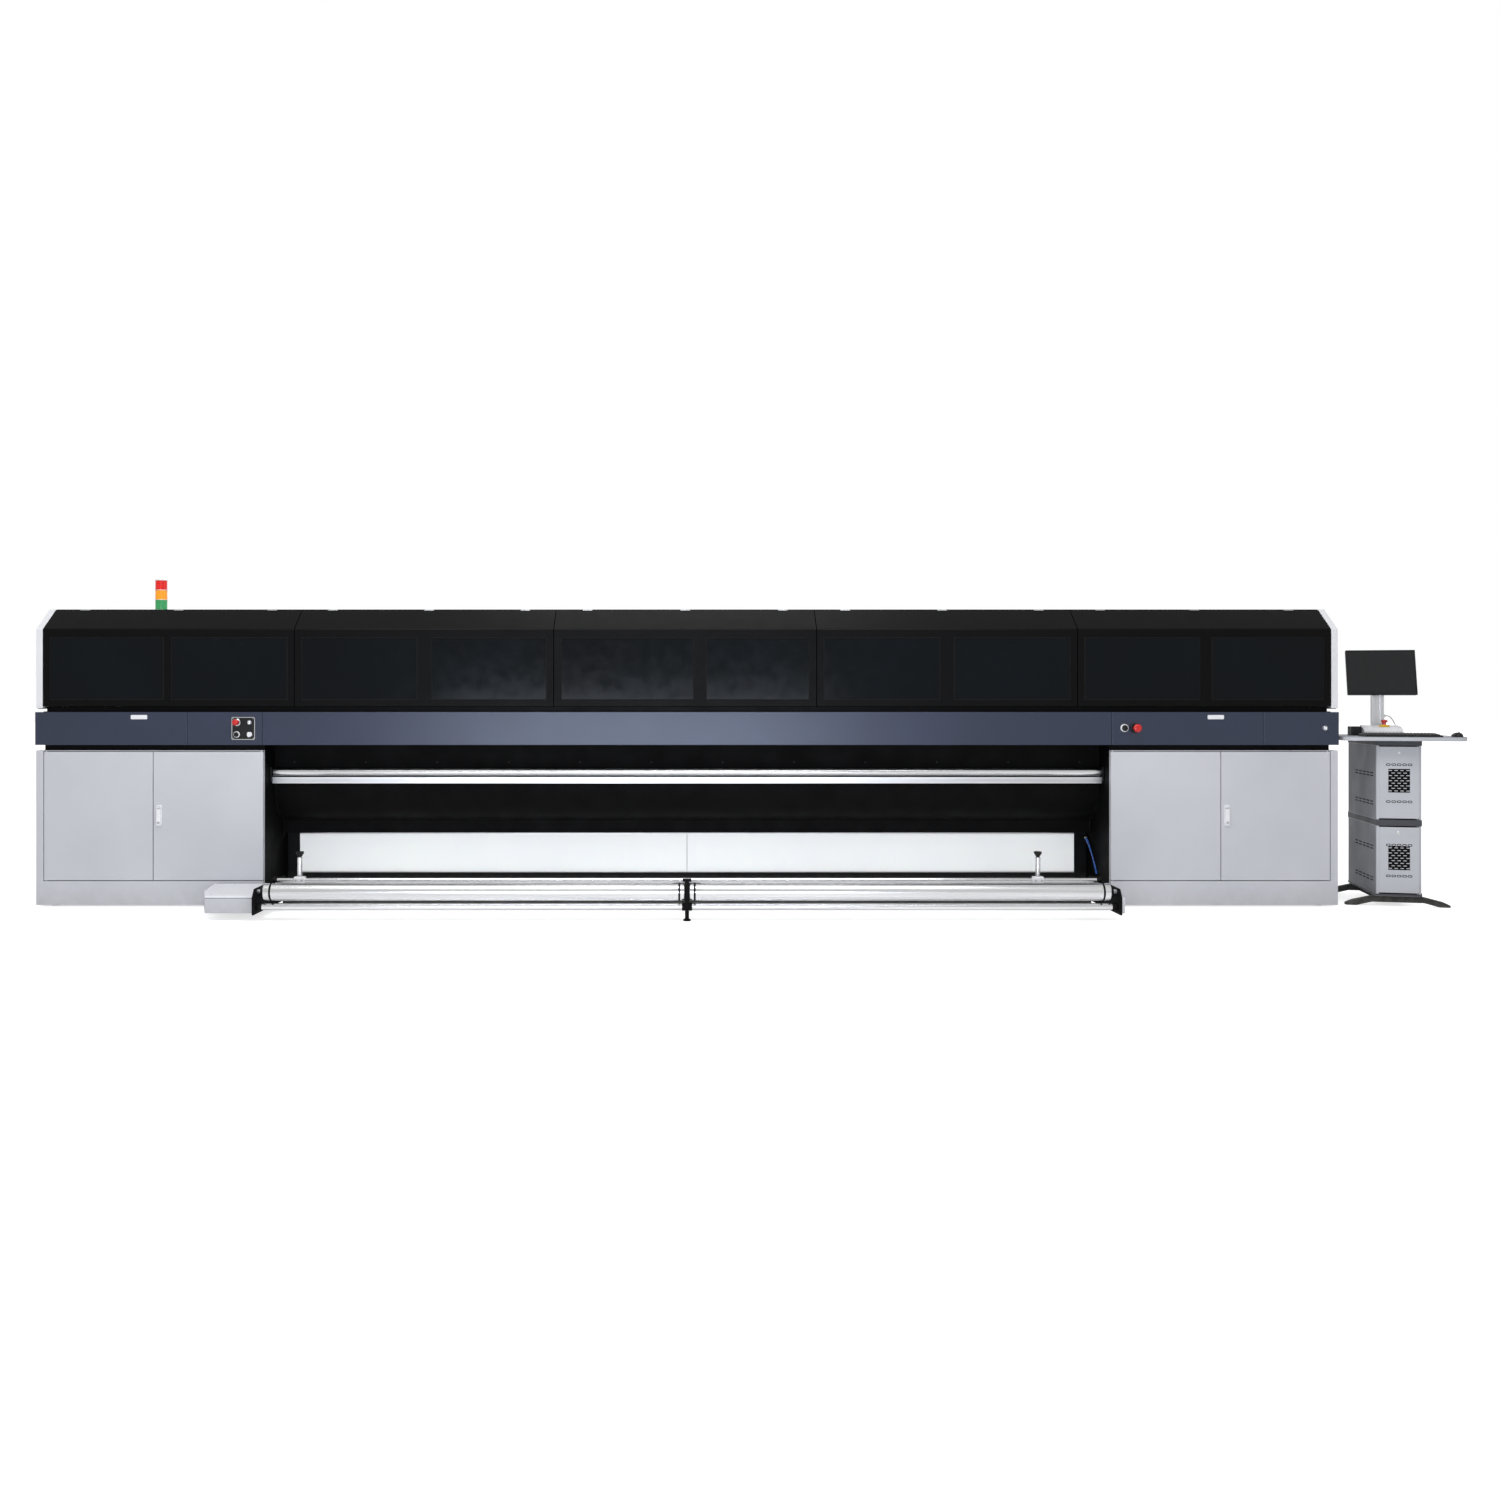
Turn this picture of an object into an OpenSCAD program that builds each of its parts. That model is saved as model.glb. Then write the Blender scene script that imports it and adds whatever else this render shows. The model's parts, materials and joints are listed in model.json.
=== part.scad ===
// Five-metre roll-to-roll UV printer with its operator console.
// X runs along the printer, Y from the operator side to the back, Z is up.
// Inside the file X = 0 is the printer's middle and Y = 0 the cabinet fronts;
// at_origin() then moves everything so that the origin is under the middle of the whole.

/* [Printer body] */
// Width over the two end cabinets
body_w = 8150; // [7400:50:9800]
// Clear width between the two end cabinets
aperture_w = 5310; // [4400:5:5800]
// Depth of the body from front to back
body_d = 1400; // [1200:10:1700]
// Height of the cabinet tops
cabinet_h = 978; // [900:1:1150]
// Height of the dark strip between the cabinets and the beam
recess_h = 34; // [25:1:60]
// How far the dark strip is set in from the body's outline
recess_inset = 40; // [35:1:100]
// Height of the beam fascia
fascia_h = 206; // [180:1:260]
// Depth of the fascia's folded panels
fascia_d = 30; // [24:1:50]
// Gap between neighbouring fascia panels
panel_gap = 3; // [1:0.5:6]
// How far the beam fascia stands out past the body at each end
fascia_overhang = 8; // [0:1:15]
// Gap between the beam fascia and the hood
hood_gap = 32; // [20:1:50]
// Thickness of the folded sheet steel
sheet = 3; // [2:0.5:4]

/* [Cabinet doors] */
// Height of the plinth under the doors
plinth_h = 160; // [120:1:200]
// Thickness of a folded door
door_t = 20; // [16:1:30]
// Gap round a door
door_gap = 5; // [4:0.5:8]
// Width of the post at the outer end of a cabinet
post_w = 45; // [35:1:70]
// Radius of a door's pivot pins
door_pin_r = 4; // [3:0.5:6]
// Width of a door handle
handle_w = 34; // [26:1:45]
// Height of a door handle
handle_h = 126; // [100:1:160]

/* [Hood] */
// Height of the upright front of the hood
hood_front_h = 488; // [420:1:560]
// Rise of the hood's slope
slope_h = 135; // [100:1:180]
// Depth of the hood's slope
slope_d = 170; // [120:1:240]
// Thickness of a hood end panel
end_panel_t = 40; // [30:1:60]
// Depth of a cover's window frame
cover_t = 25; // [18:1:35]
// Gap between neighbouring covers
cover_gap = 5; // [3:1:10]
// Width of the frame between a window and a cover's edge
window_edge = 40; // [30:1:60]
// Height of the frame below the windows
window_sill = 38; // [25:1:60]
// Height of the frame above the windows
window_head = 50; // [35:1:70]
// Thickness of a window pane
pane_t = 5; // [4:0.5:8]
// Radius of the hinge pins
hinge_pin_r = 2; // [1.5:0.5:3]

/* [Print unit] */
// Distance of the platen's ends from the cabinets
platen_side = 55; // [40:1:100]
// Width of the print carriage
carriage_w = 850; // [600:10:1000]
// Distance of the parked carriage from the body's end
park_side = 200; // [150:5:400]
// Radius of the drive roller
drive_r = 60; // [45:1:65]
// Radius of the pinch roller
pinch_r = 25; // [18:1:30]
// Radius of the front guide roller
guide_r = 25.5; // [20:0.5:32]
// Height of the front guide roller's axis
guide_z = 834; // [780:1:860]

/* [Take-up and unwind] */
// Distance of the take-up end plates from the line of the cabinets
takeup_side = 143; // [100:1:300]
// Distance of the take-up shafts in front of the cabinets
takeup_reach = 520; // [450:5:600]
// Height of the take-up shafts' axis
takeup_z = 172; // [160:1:200]
// Radius of the take-up shafts
shaft_r = 51; // [38:0.5:55]
// Radius of the lower tie tube
tie_r = 20; // [15:0.5:25]
// Radius of the bar that carries the edge guides
bar_r = 15; // [12:0.5:20]
// Length of the drive box
drive_box_w = 300; // [240:5:400]
// Height of the drive box
drive_box_h = 103; // [80:1:120]
// Distance of the unwind shaft behind the body
unwind_reach = 230; // [200:5:300]
// Height of the unwind shaft's axis
unwind_z = 430; // [380:5:500]
// Radius of the unwind shaft
unwind_r = 45; // [38:0.5:60]

/* [Console] */
// Turn of the console about the vertical
console_turn = 12; // [0:1:15]
// Width of the console cabinet
console_w = 260; // [250:5:360]
// Depth of the console cabinet
console_d = 600; // [500:10:700]
// Height of the console's tabletop
table_z = 1065; // [980:5:1120]
// Width of the tabletop
table_w = 720; // [680:5:800]
// Thickness of the tabletop
table_t = 25; // [18:1:35]
// Width of the monitor
monitor_w = 415; // [380:5:520]
// Height of the monitor
monitor_h = 298; // [260:2:320]
// Lean of the monitor away from the upright
monitor_lean = 11; // [0:1:15]

/* [Hidden] */
$fn = 48;

white_steel = "#cfd0d4";
blue_steel = "#465069";
dark_steel = "#17181a";
silver = "#c4c7ca";
signal_red = "#c8201c";

run_gap = 0.05;      // radial clearance of a shaft in its hole
clear = 0.4;         // clearance between flat faces that slide
eps = 1;             // how far a cutting solid runs past a face

half_body = body_w / 2;
half_aperture = aperture_w / 2;
half_fascia = half_body + fascia_overhang;
fascia_z0 = cabinet_h + recess_h;
fascia_z1 = fascia_z0 + fascia_h;
hood_z0 = fascia_z1 + hood_gap;
hood_z1 = hood_z0 + hood_front_h;
hood_z2 = hood_z1 + slope_h;

// Doors
door_z0 = plinth_h + door_gap;
door_z1 = cabinet_h - sheet - door_gap;
door_recess = door_t + 8;
pivot_inset = 12;
pivot_y = door_t / 2;
foot_pad_h = 12;
floor_gap = 10;
stem_top = 60;
cap_rim = 80;
// X of the right inner and outer doors' pivots, and of the line where the two doors meet
door_pivots = [half_aperture + pivot_inset, half_body - post_w - door_gap - pivot_inset];
door_meet = (half_aperture + half_body - post_w) / 2;
handle_z0 = 505;
handle_pin_r = 1.5;
handle_pivot_y = -5.5;
handle_pivot_z = handle_z0 + handle_h - 16;
left_handle_x = -door_meet + 38;
right_handle_x = door_meet + 38;

// Beam and print unit
beam_y0 = 300;
beam_y1 = 900;
beam_top = fascia_z1 - 38;
beam_wall = 10;
platen_w = aperture_w - 2 * platen_side;
platen_y0 = 225;
platen_y1 = 950;
platen_top = fascia_z1 - 8;
drive_y = 150;
drive_z = platen_top - drive_r;
pinch_z = platen_top + pinch_r + 0.5;
bracket_t = 12;
journal_gap = 3;
drive_journal_r = 20;
pinch_journal_r = 10;
gantry_y0 = 760;
gantry_y1 = 960;
gantry_z0 = fascia_z1 + 182;
gantry_z1 = gantry_z0 + 220;
rail_z = [gantry_z0 + 40, gantry_z1 - 40];
rail_size = 20;
park_x = half_body - park_side - carriage_w / 2;
carriage_y0 = 255;
carriage_y1 = 735;
carriage_z0 = platen_top + 12;
carriage_z1 = platen_top + 350;
head_gap = 4;

// Guide roller
guide_y = 160;
guide_journal_r = 12;
guide_bracket_t = 14;
profile_w = 40;

// Light box
light_y = 410;
light_w = aperture_w - 220;
light_z0 = 168;
light_z1 = 412;
light_depth = 90;
stay_x = half_aperture - 1055;
skirt_y = light_y + light_depth + 3;
diffuser_t = 6;
diffuser_seam = 4;

// Hood covers: seams run between neighbouring covers
cover_span = half_body - end_panel_t - 1;
cover_count = 5;
cover_edges = [for (i = [0:cover_count]) cover_span * (2 * i / cover_count - 1)];
seam_shift = [0, -38, -28, 5, 25, 0];
mid_stile_w = [42, 80, 70, 82, 68];
mid_stile_shift = [-8, 0, 92, 0, 10];
function cover_x0(i) = cover_edges[i] + seam_shift[i] + cover_gap / 2;
function cover_x1(i) = cover_edges[i + 1] + seam_shift[i + 1] - cover_gap / 2;
function stile_x(i) = (cover_x0(i) + cover_x1(i)) / 2 + mid_stile_shift[i];
hinge_r = 5;
hinge_y = slope_d + 2;
hinge_z = hood_z2 - hinge_r;
knuckle_l = 60;
knuckle_gap = 0.5;
cover_skin = 4;

// Take-up
takeup_y = -takeup_reach;
half_takeup = half_aperture - takeup_side;
plate_t = 12;
plate_front = takeup_y - 75;
plate_top = takeup_z + 22;
plate_bottom = 45;
rear_tube_z0 = 30;
takeup_journal_r = 15;
support_t = 24;
tie_z = takeup_z - 87;
bar_y = -240;
bar_z = 200;
guide_x = [162 - half_takeup, half_takeup - 382];
clamp_w = 60;

// Unwind
unwind_y = body_d + unwind_reach;
unwind_plate_r = 110;
unwind_plate_t = 20;
half_unwind = half_aperture - 30;
unwind_journal_r = 20;

// Panel buttons
start_x = half_aperture + 83;
stop_x = half_aperture + 150;
button_z = fascia_z0 + fascia_h * 0.515;
lock_x = half_body - 82;
panel_size = [146, 142];
panel_x = -half_aperture - 121;
panel_z = fascia_z0 + 104;
panel_step = [40, 38];
panel_t = 5;

// Console, in its own frame: u to the right, v to the back, from the cabinet's front left corner
console_x = half_body + 252;
console_y = 20;
table_u0 = -215;
table_v0 = -100;
table_d = 600;
table_corner = 80;
foot_h = 66;
band_h = 37;
console_split = 525;
console_band_z = console_split - band_h / 2;
bay_wall = 14;
console_pin_r = 2.5;
post_u = 126;
post_v = 415;
monitor_axis = [post_u + 4, 386, table_z + 400];
tilt_pin_r = 5;
// Route of the keyboard's lead, from the post's clip down to the tabletop and along it;
// z is above the tabletop
lead_r = 2;
lead_route = [
    [172, 411, 125], [182, 411, 125], [192, 410, 123], [201, 407, 117], [209, 403, 107],
    [216, 398, 94], [222, 391, 78], [227, 383, 60], [231, 374, 42], [235, 363, 26],
    [238, 350, 13], [240, 335, 5], [241, 318, 2.2], [241, 300, 2.2], [240, 270, 2.2],
    [238, 240, 2.2], [235, 210, 2.2], [231, 180, 2.2], [226, 150, 2.2], [221, 120, 2.6],
    [217, 95, 4], [215, 75, 6], [214, 58, 6]
];

// Box of the whole, which places the origin
turn_c = cos(console_turn);
turn_s = sin(console_turn);
corner_u = table_u0 + table_w - table_corner;
corner_v = table_v0 + table_d - table_corner;
x_min = -half_fascia;
x_max = console_x + turn_c * corner_u + turn_s * corner_v + table_corner;
y_min = plate_front;
y_max = unwind_y + unwind_plate_r;
origin_x = (x_min + x_max) / 2;
origin_y = (y_min + y_max) / 2;

module at_origin() {
    translate([-origin_x, -origin_y, 0]) children();
}

module at_console() {
    at_origin() translate([console_x, console_y, 0]) rotate([0, 0, -console_turn]) children();
}

// Box from its low corner to its high corner
module span(low, high) {
    translate(low) cube(high - low);
}

// Extrudes a (y, z) outline along X
module along_x(x0, x1) {
    translate([x0, 0, 0]) rotate([90, 0, 90]) linear_extrude(x1 - x0) children();
}

// Extrudes an (x, z) outline along Y
module along_y(y0, y1) {
    translate([0, y1, 0]) rotate([90, 0, 0]) linear_extrude(y1 - y0) children();
}

module rod_x(r, x0, x1, y, z) {
    translate([x0, y, z]) rotate([0, 90, 0]) cylinder(r = r, h = x1 - x0);
}

module rod_y(r, y0, y1, x, z) {
    translate([x, y1, z]) rotate([90, 0, 0]) cylinder(r = r, h = y1 - y0);
}

module rod_z(r, z0, z1, x, y) {
    translate([x, y, z0]) cylinder(r = r, h = z1 - z0);
}

// Flat rectangle with round corners, from its low corner
module rounded(w, h, r) {
    translate([r, 0]) square([w - 2 * r, h]);
    translate([0, r]) square([w, h - 2 * r]);
    for (x = [r, w - r], y = [r, h - r]) translate([x, y]) circle(r = r);
}

module both_ends() {
    for (side = [0, 1]) mirror([side, 0, 0]) children();
}

// Structure

module roller_bracket() {
    x0 = half_aperture - bracket_t;
    y0 = drive_y - 55;
    top = pinch_z + 30;
    difference() {
        union() {
            span([x0, y0, fascia_z0], [half_aperture, beam_y0 + 1, top]);
            span([x0, y0, fascia_z0], [half_aperture + 40, beam_y0 + 1, fascia_z0 + bracket_t]);
        }
        for (hole = [[drive_journal_r, drive_z], [pinch_journal_r, pinch_z]])
            rod_x(hole[0] + run_gap, x0 - eps, half_aperture + eps, drive_y, hole[1]);
        span([x0 - eps, platen_y0 - clear, beam_top], [half_aperture + eps, beam_y0 + 2, top + eps]);
    }
}

module base_frame() at_origin() color(dark_steel) {
    beam_half = half_body - recess_inset;
    difference() {
        span([-beam_half, beam_y0, fascia_z0], [beam_half, beam_y1, beam_top]);
        span([-beam_half - eps, beam_y0 + beam_wall, fascia_z0 + beam_wall],
            [beam_half + eps, beam_y1 - beam_wall, beam_top - beam_wall]);
    }
    both_ends() roller_bracket();
    for (y = [560, body_d - 160]) span([-half_aperture, y, 230], [half_aperture, y + 80, 310]);
    for (x = [-stay_x, 0, stay_x]) span([x - 30, light_y + light_depth, 240], [x + 30, 560, 300]);
    // skirt behind the light box
    span([-half_aperture, skirt_y, rear_tube_z0], [half_aperture, skirt_y + sheet, light_z1 + 18]);
}

module levelling_foot(x, y) {
    rod_z(40, 0, foot_pad_h, x, y);
    rod_z(10, foot_pad_h, stem_top, x, y);
}

module levelling_feet() at_origin() color(dark_steel) {
    both_ends() for (x = [half_aperture + 90, half_body - 90], y = [90, body_d - 90]) levelling_foot(x, y);
}

module cabinet_shell() {
    a = half_aperture;
    b = half_body;
    difference() {
        span([a, 0, floor_gap], [b, body_d, cabinet_h]);
        // the store room, and the hollow under its floor
        span([a + sheet, door_recess - eps, stem_top + sheet],
            [b - post_w, body_d - sheet, cabinet_h - sheet]);
        span([a + sheet, 40, stem_top + sheet], [b - sheet, body_d - sheet, cabinet_h - sheet]);
        span([a + sheet, sheet, stem_top + sheet], [b - sheet, door_recess, plinth_h - sheet]);
        span([a + sheet, sheet, floor_gap - eps], [b - sheet, body_d - sheet, stem_top]);
        // the recess that the doors close
        span([a - eps, -eps, plinth_h], [b - post_w, door_recess, cabinet_h - sheet]);
        for (x = door_pivots) rod_z(door_pin_r + run_gap, plinth_h - 2 * sheet, cabinet_h + eps, x, pivot_y);
    }
}

// Dark cap on a cabinet, set in from its outline, that carries the beam
module cabinet_cap() {
    cap_x1 = half_body - recess_inset;
    cap_y1 = body_d - recess_inset;
    difference() {
        span([half_aperture, recess_inset, cabinet_h], [cap_x1, cap_y1, fascia_z0]);
        for (y = [[recess_inset + cap_rim, beam_y0 - 40], [beam_y1 + 40, cap_y1 - cap_rim]])
            span([half_aperture + cap_rim, y[0], cabinet_h - eps], [cap_x1 - cap_rim, y[1], fascia_z0 + eps]);
    }
}

module right_cabinet() at_origin() {
    color(white_steel) cabinet_shell();
    color(dark_steel) cabinet_cap();
}

module left_cabinet() at_origin() mirror([1, 0, 0]) {
    color(white_steel) cabinet_shell();
    color(dark_steel) cabinet_cap();
}

// One pressed-steel tray of the fascia
module fascia_panel(x0, x1) {
    difference() {
        span([x0 + panel_gap / 2, 0, fascia_z0], [x1 - panel_gap / 2, fascia_d, fascia_z1]);
        span([x0 - eps, sheet, fascia_z0 + sheet], [x1 + eps, fascia_d - sheet, fascia_z1 - sheet]);
        span([x0 - eps, sheet, fascia_z0 + 20], [x1 + eps, fascia_d + eps, fascia_z1 - 20]);
    }
}

module fascia_end(x) {
    span([x, sheet, fascia_z0 + sheet], [x + sheet, body_d, fascia_z1 - sheet]);
}

module beam_fascia() at_origin() color(blue_steel) {
    seams = [
        -half_fascia, -half_aperture - 475, -half_aperture - 5,
        half_aperture + 5, half_aperture + 955, half_fascia
    ];
    window = panel_size / 2 - [8, 8];
    difference() {
        for (i = [0:4]) fascia_panel(seams[i], seams[i + 1]);
        span([panel_x - window[0], -eps, panel_z - window[1]],
            [panel_x + window[0], 10, panel_z + window[1]]);
        rod_y(14 + run_gap, -eps, 10, start_x, button_z);
        rod_y(11 + run_gap, -eps, 10, stop_x, button_z);
        rod_y(9 + run_gap, -eps, 10, lock_x, button_z);
    }
    for (x = [-half_fascia, half_fascia - sheet]) fascia_end(x);
    span([-half_fascia, body_d - sheet, fascia_z0], [half_fascia, body_d, fascia_z1]);
    // finger plates on the two end panels
    for (x = [-half_aperture - 775, half_aperture + 655])
        span([x - 51, -3, fascia_z1 - 45], [x + 51, 0.5, fascia_z1 - 18]);
}

module platen() at_origin() color(silver) {
    difference() {
        span([-platen_w / 2, platen_y0, beam_top], [platen_w / 2, platen_y1, platen_top]);
        // suction grooves
        for (y = [platen_y0 + 60:110:platen_y1 - 60])
            span([-platen_w / 2 + 40, y, platen_top - 3], [platen_w / 2 - 40, y + 6, platen_top + eps]);
    }
}

module gantry_beam() at_origin() color(dark_steel) {
    post_x = half_body - 275;
    half_rail = half_body - 125;
    difference() {
        span([-half_rail, gantry_y0, gantry_z0], [half_rail, gantry_y1, gantry_z1]);
        span([-half_rail - eps, gantry_y0 + beam_wall, gantry_z0 + beam_wall],
            [half_rail + eps, gantry_y1 - beam_wall, gantry_z1 - beam_wall]);
    }
    for (x = [-post_x, post_x]) span([x - 75, gantry_y0, beam_top], [x + 75, beam_y1, gantry_z0]);
    for (z = rail_z)
        span([-half_rail, gantry_y0 - rail_size, z - rail_size / 2],
            [half_rail, gantry_y0, z + rail_size / 2]);
}

module hood_end() {
    x0 = half_body - end_panel_t;
    along_x(x0, half_body) polygon([
        [0, hood_z0 - 8], [0, hood_z1], [slope_d, hood_z2],
        [body_d - slope_d, hood_z2], [body_d, hood_z1], [body_d, hood_z0 - 8]
    ]);
}

module hood_end_left() at_origin() color("#dcdde0") mirror([1, 0, 0]) hood_end();

module hood_end_right() at_origin() color("#dcdde0") hood_end();

// X of each hinge set on cover i
function hinge_xs(i) = [for (f = [0.12, 0.5, 0.88]) cover_x0(i) + f * (cover_x1(i) - cover_x0(i))];

module hood_shell() at_origin() color(dark_steel) {
    t = cover_skin;
    along_x(-cover_span, cover_span) polygon([
        [hinge_y + hinge_r + 3, hood_z2], [body_d - slope_d, hood_z2], [body_d, hood_z1], [body_d, hood_z0],
        [body_d - t, hood_z0], [body_d - t, hood_z1 - t / 2], [body_d - slope_d - t / 2, hood_z2 - t],
        [hinge_y + hinge_r + 3, hood_z2 - t]
    ]);
    // stiffener under the hinge line, with the hinges' fixed knuckles and pins
    along_x(-cover_span, cover_span) polygon([
        [hinge_y + hinge_r + 3, hood_z2 - 40], [hinge_y + hinge_r + 3, hood_z2 - t / 2],
        [hinge_y + hinge_r + 3 + t, hood_z2 - t / 2], [hinge_y + hinge_r + 3 + t, hood_z2 - 40]
    ]);
    for (i = [0:4], x = hinge_xs(i)) {
        rod_x(hinge_pin_r, x - knuckle_l, x + knuckle_l, hinge_y, hinge_z);
        for (side = [-1, 1]) {
            k0 = x + side * (knuckle_l * 0.75 + knuckle_gap) - knuckle_l / 4;
            rod_x(hinge_r - 1, k0, k0 + knuckle_l / 2, hinge_y, hinge_z);
            span([k0, hinge_y, hinge_z - 2], [k0 + knuckle_l / 2, hinge_y + hinge_r + 4, hinge_z + 1]);
        }
    }
    // ledge that carries the covers' lower edge, and the dark closing strip above the fascia
    along_x(-cover_span, cover_span) polygon([
        [cover_t + 8, hood_z0], [60, hood_z0], [60, fascia_z1], [12, fascia_z1], [12, fascia_z1 + t],
        [60 - t, fascia_z1 + t], [60 - t, hood_z0 - t], [cover_t + 8, hood_z0 - t]
    ]);
}

module signal_tower() at_origin() color("#d8a53a") {
    x = -half_body + 620;
    y = 400;
    rod_z(30, hood_z2, hood_z2 + 14, x, y);
    for (i = [0:2]) rod_z(39, hood_z2 + 14 + i * 66, hood_z2 + 14 + i * 66 + 64, x, y);
    rod_z(34, hood_z2 + 14, hood_z2 + 14 + 3 * 66, x, y);
}

module control_panel() at_origin() color("#202226") {
    difference() {
        along_y(-panel_t, 0) translate([panel_x, panel_z] - panel_size / 2)
            rounded(panel_size[0], panel_size[1], 6);
        // stems of the stop button, the selector, the start button and the lever
        for (stem = [[11, -1, 1], [9, 1, 1], [12, -1, -1], [9, 1, -1]])
            rod_y(stem[0] + run_gap, -panel_t - eps, eps,
                panel_x + stem[1] * panel_step[0], panel_z + stem[2] * panel_step[1]);
    }
}

// Media path between the cabinets

module deflector() at_origin() color("#0e0f10") {
    t = sheet;
    edge = [for (a = [0:10:90]) [250 + 170 * (1 - cos(a)), 745 - 240 * sin(a)]];
    line = concat([[250, fascia_z0]], edge, [[420, light_z1 + 8]]);
    along_x(-half_aperture + 2, half_aperture - 2) polygon(concat(
        line, [for (i = [len(line) - 1:-1:0]) line[i] + [t, i < 2 ? 0 : t]]
    ));
}

module light_box() at_origin() color("#e4e5e8") {
    difference() {
        span([-light_w / 2, light_y, light_z0], [light_w / 2, light_y + light_depth, light_z1]);
        span([-light_w / 2 + sheet, light_y - eps, light_z0 + 14],
            [light_w / 2 - sheet, light_y + light_depth - sheet, light_z1 - 14]);
    }
}

module light_diffusers() at_origin() color("#ffffff") {
    for (side = [-1, 1]) {
        x0 = side > 0 ? diffuser_seam / 2 : -light_w / 2;
        span([x0, light_y - diffuser_t, light_z0], [x0 + light_w / 2 - diffuser_seam / 2, light_y, light_z1]);
    }
}

module guide_profile() at_origin() color(silver) {
    z1 = guide_z - guide_r - 6;
    half = half_aperture - guide_bracket_t;
    difference() {
        span([-half - 1, guide_y - profile_w / 2, z1 - profile_w], [half + 1, guide_y + profile_w / 2, z1]);
        // a slot along the front and the back
        for (y = [guide_y - profile_w / 2 - eps, guide_y + profile_w / 2 - 6])
            span([-half - 2, y, z1 - profile_w / 2 - 4], [half + 2, y + 6 + eps, z1 - profile_w / 2 + 4]);
    }
    both_ends() difference() {
        along_x(half, half_aperture) polygon([
            [guide_y - 34, guide_z + 34], [guide_y + 40, guide_z + 34],
            [guide_y + 40, z1 - profile_w], [guide_y - 20, z1 - profile_w],
            [guide_y - 34, z1 - profile_w + 14]
        ]);
        rod_x(guide_journal_r + run_gap, half - eps, half_aperture + eps, guide_y, guide_z);
    }
}

module end_plate() {
    difference() {
        along_x(half_takeup, half_takeup + plate_t) polygon([
            [plate_front, plate_bottom], [plate_front, takeup_z - 25], [plate_front + 35, plate_top],
            [-20, plate_top + 6], [0, plate_top - 14], [0, plate_bottom + 20], [-40, plate_bottom]
        ]);
        rod_x(takeup_journal_r + run_gap, half_takeup - eps, half_takeup + plate_t + eps, takeup_y, takeup_z);
    }
}

module takeup_frame() at_origin() color(dark_steel) {
    both_ends() end_plate();
    // lower rear tube and its floor feet
    span([-half_takeup, -60, rear_tube_z0], [half_takeup, -20, 100]);
    for (x = [-half_takeup + 300, half_takeup - 300]) {
        rod_z(12, 10, rear_tube_z0, x, -40);
        rod_z(32, 0, 10, x, -40);
    }
    // two ties from the rear tube to the cabinets
    both_ends() span([half_takeup + plate_t, -20, 60], [half_aperture + 40, 0, 100]);
}

module tie_tubes() at_origin() color(silver) {
    both_ends() rod_x(tie_r, support_t / 2, half_takeup, takeup_y, tie_z);
    rod_x(bar_r, -half_takeup, half_takeup, bar_y, bar_z);
}

module centre_support() at_origin() color(dark_steel) {
    h = support_t / 2;
    difference() {
        union() {
            along_x(-h, h) polygon([
                [takeup_y - 30, 60], [takeup_y - 12, 12], [takeup_y + 30, 12], [takeup_y + 60, 60],
                [takeup_y + 60, takeup_z - 20], [takeup_y + 34, takeup_z + 60],
                [takeup_y - 20, takeup_z + 60],
                [takeup_y - 34, takeup_z + 20]
            ]);
            rod_z(22, 0, 14, 0, takeup_y + 8);
            // arm back to the frame's rear tube
            span([-h, takeup_y + 40, 60], [h, -60, 92]);
            span([-26, takeup_y - 14, takeup_z + 60], [26, takeup_y + 34, takeup_z + 72]);
        }
        rod_x(takeup_journal_r + run_gap, -h - eps, h + eps, takeup_y, takeup_z);
    }
}

module takeup_covers() at_origin() color("#dcdde1") {
    x0 = -half_takeup - plate_t - drive_box_w;
    x1 = half_takeup + plate_t;
    translate([0, 0, plate_bottom]) linear_extrude(drive_box_h) polygon([
        [x0, takeup_y], [x0 + drive_box_w, takeup_y], [x0 + drive_box_w, -21],
        [x0 - 127, -21], [x0 - 74, takeup_y * 0.64]
    ]);
    span([x1, takeup_y - 10, plate_bottom], [x1 + 38, -21, 139]);
}

// Tube along a list of points: rings lie in the planes that halve the route's bends
function unit(v) = v / norm(v);
function heading(p, i) = unit(p[min(i + 1, len(p) - 1)] - p[max(i - 1, 0)]);
function across(d) = unit(cross(d, abs(d[2]) > 0.9 ? [1, 0, 0] : [0, 0, 1]));
function ring(p, i, r, n) = let (d = heading(p, i), a = across(d), b = cross(d, a))
    [for (k = [0:n - 1]) p[i] + r * (cos(360 * k / n) * a + sin(360 * k / n) * b)];

module tube(p, r, n = 8) {
    m = len(p);
    polyhedron(
        points = [for (i = [0:m - 1]) each ring(p, i, r, n)],
        faces = concat(
            [[for (k = [0:n - 1]) k]],
            [for (i = [0:m - 2], k = [0:n - 1])
                let (a = i * n + k, b = i * n + (k + 1) % n) [a, a + n, b + n, b]],
            [[for (k = [n - 1:-1:0]) (m - 1) * n + k]]
        )
    );
}

module air_hoses() at_origin() color("#1f5fae") {
    hose_r = 4;
    top = [half_aperture - 70, 300, 400];
    for (k = [0, 1]) tube([
        for (t = [0:0.1:1]) top + [65 * t + 14 * k * (1 - t), 18 * k - 40 * t, 25 * sin(180 * t) - 230 * t]
    ], hose_r, 10);
}

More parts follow.
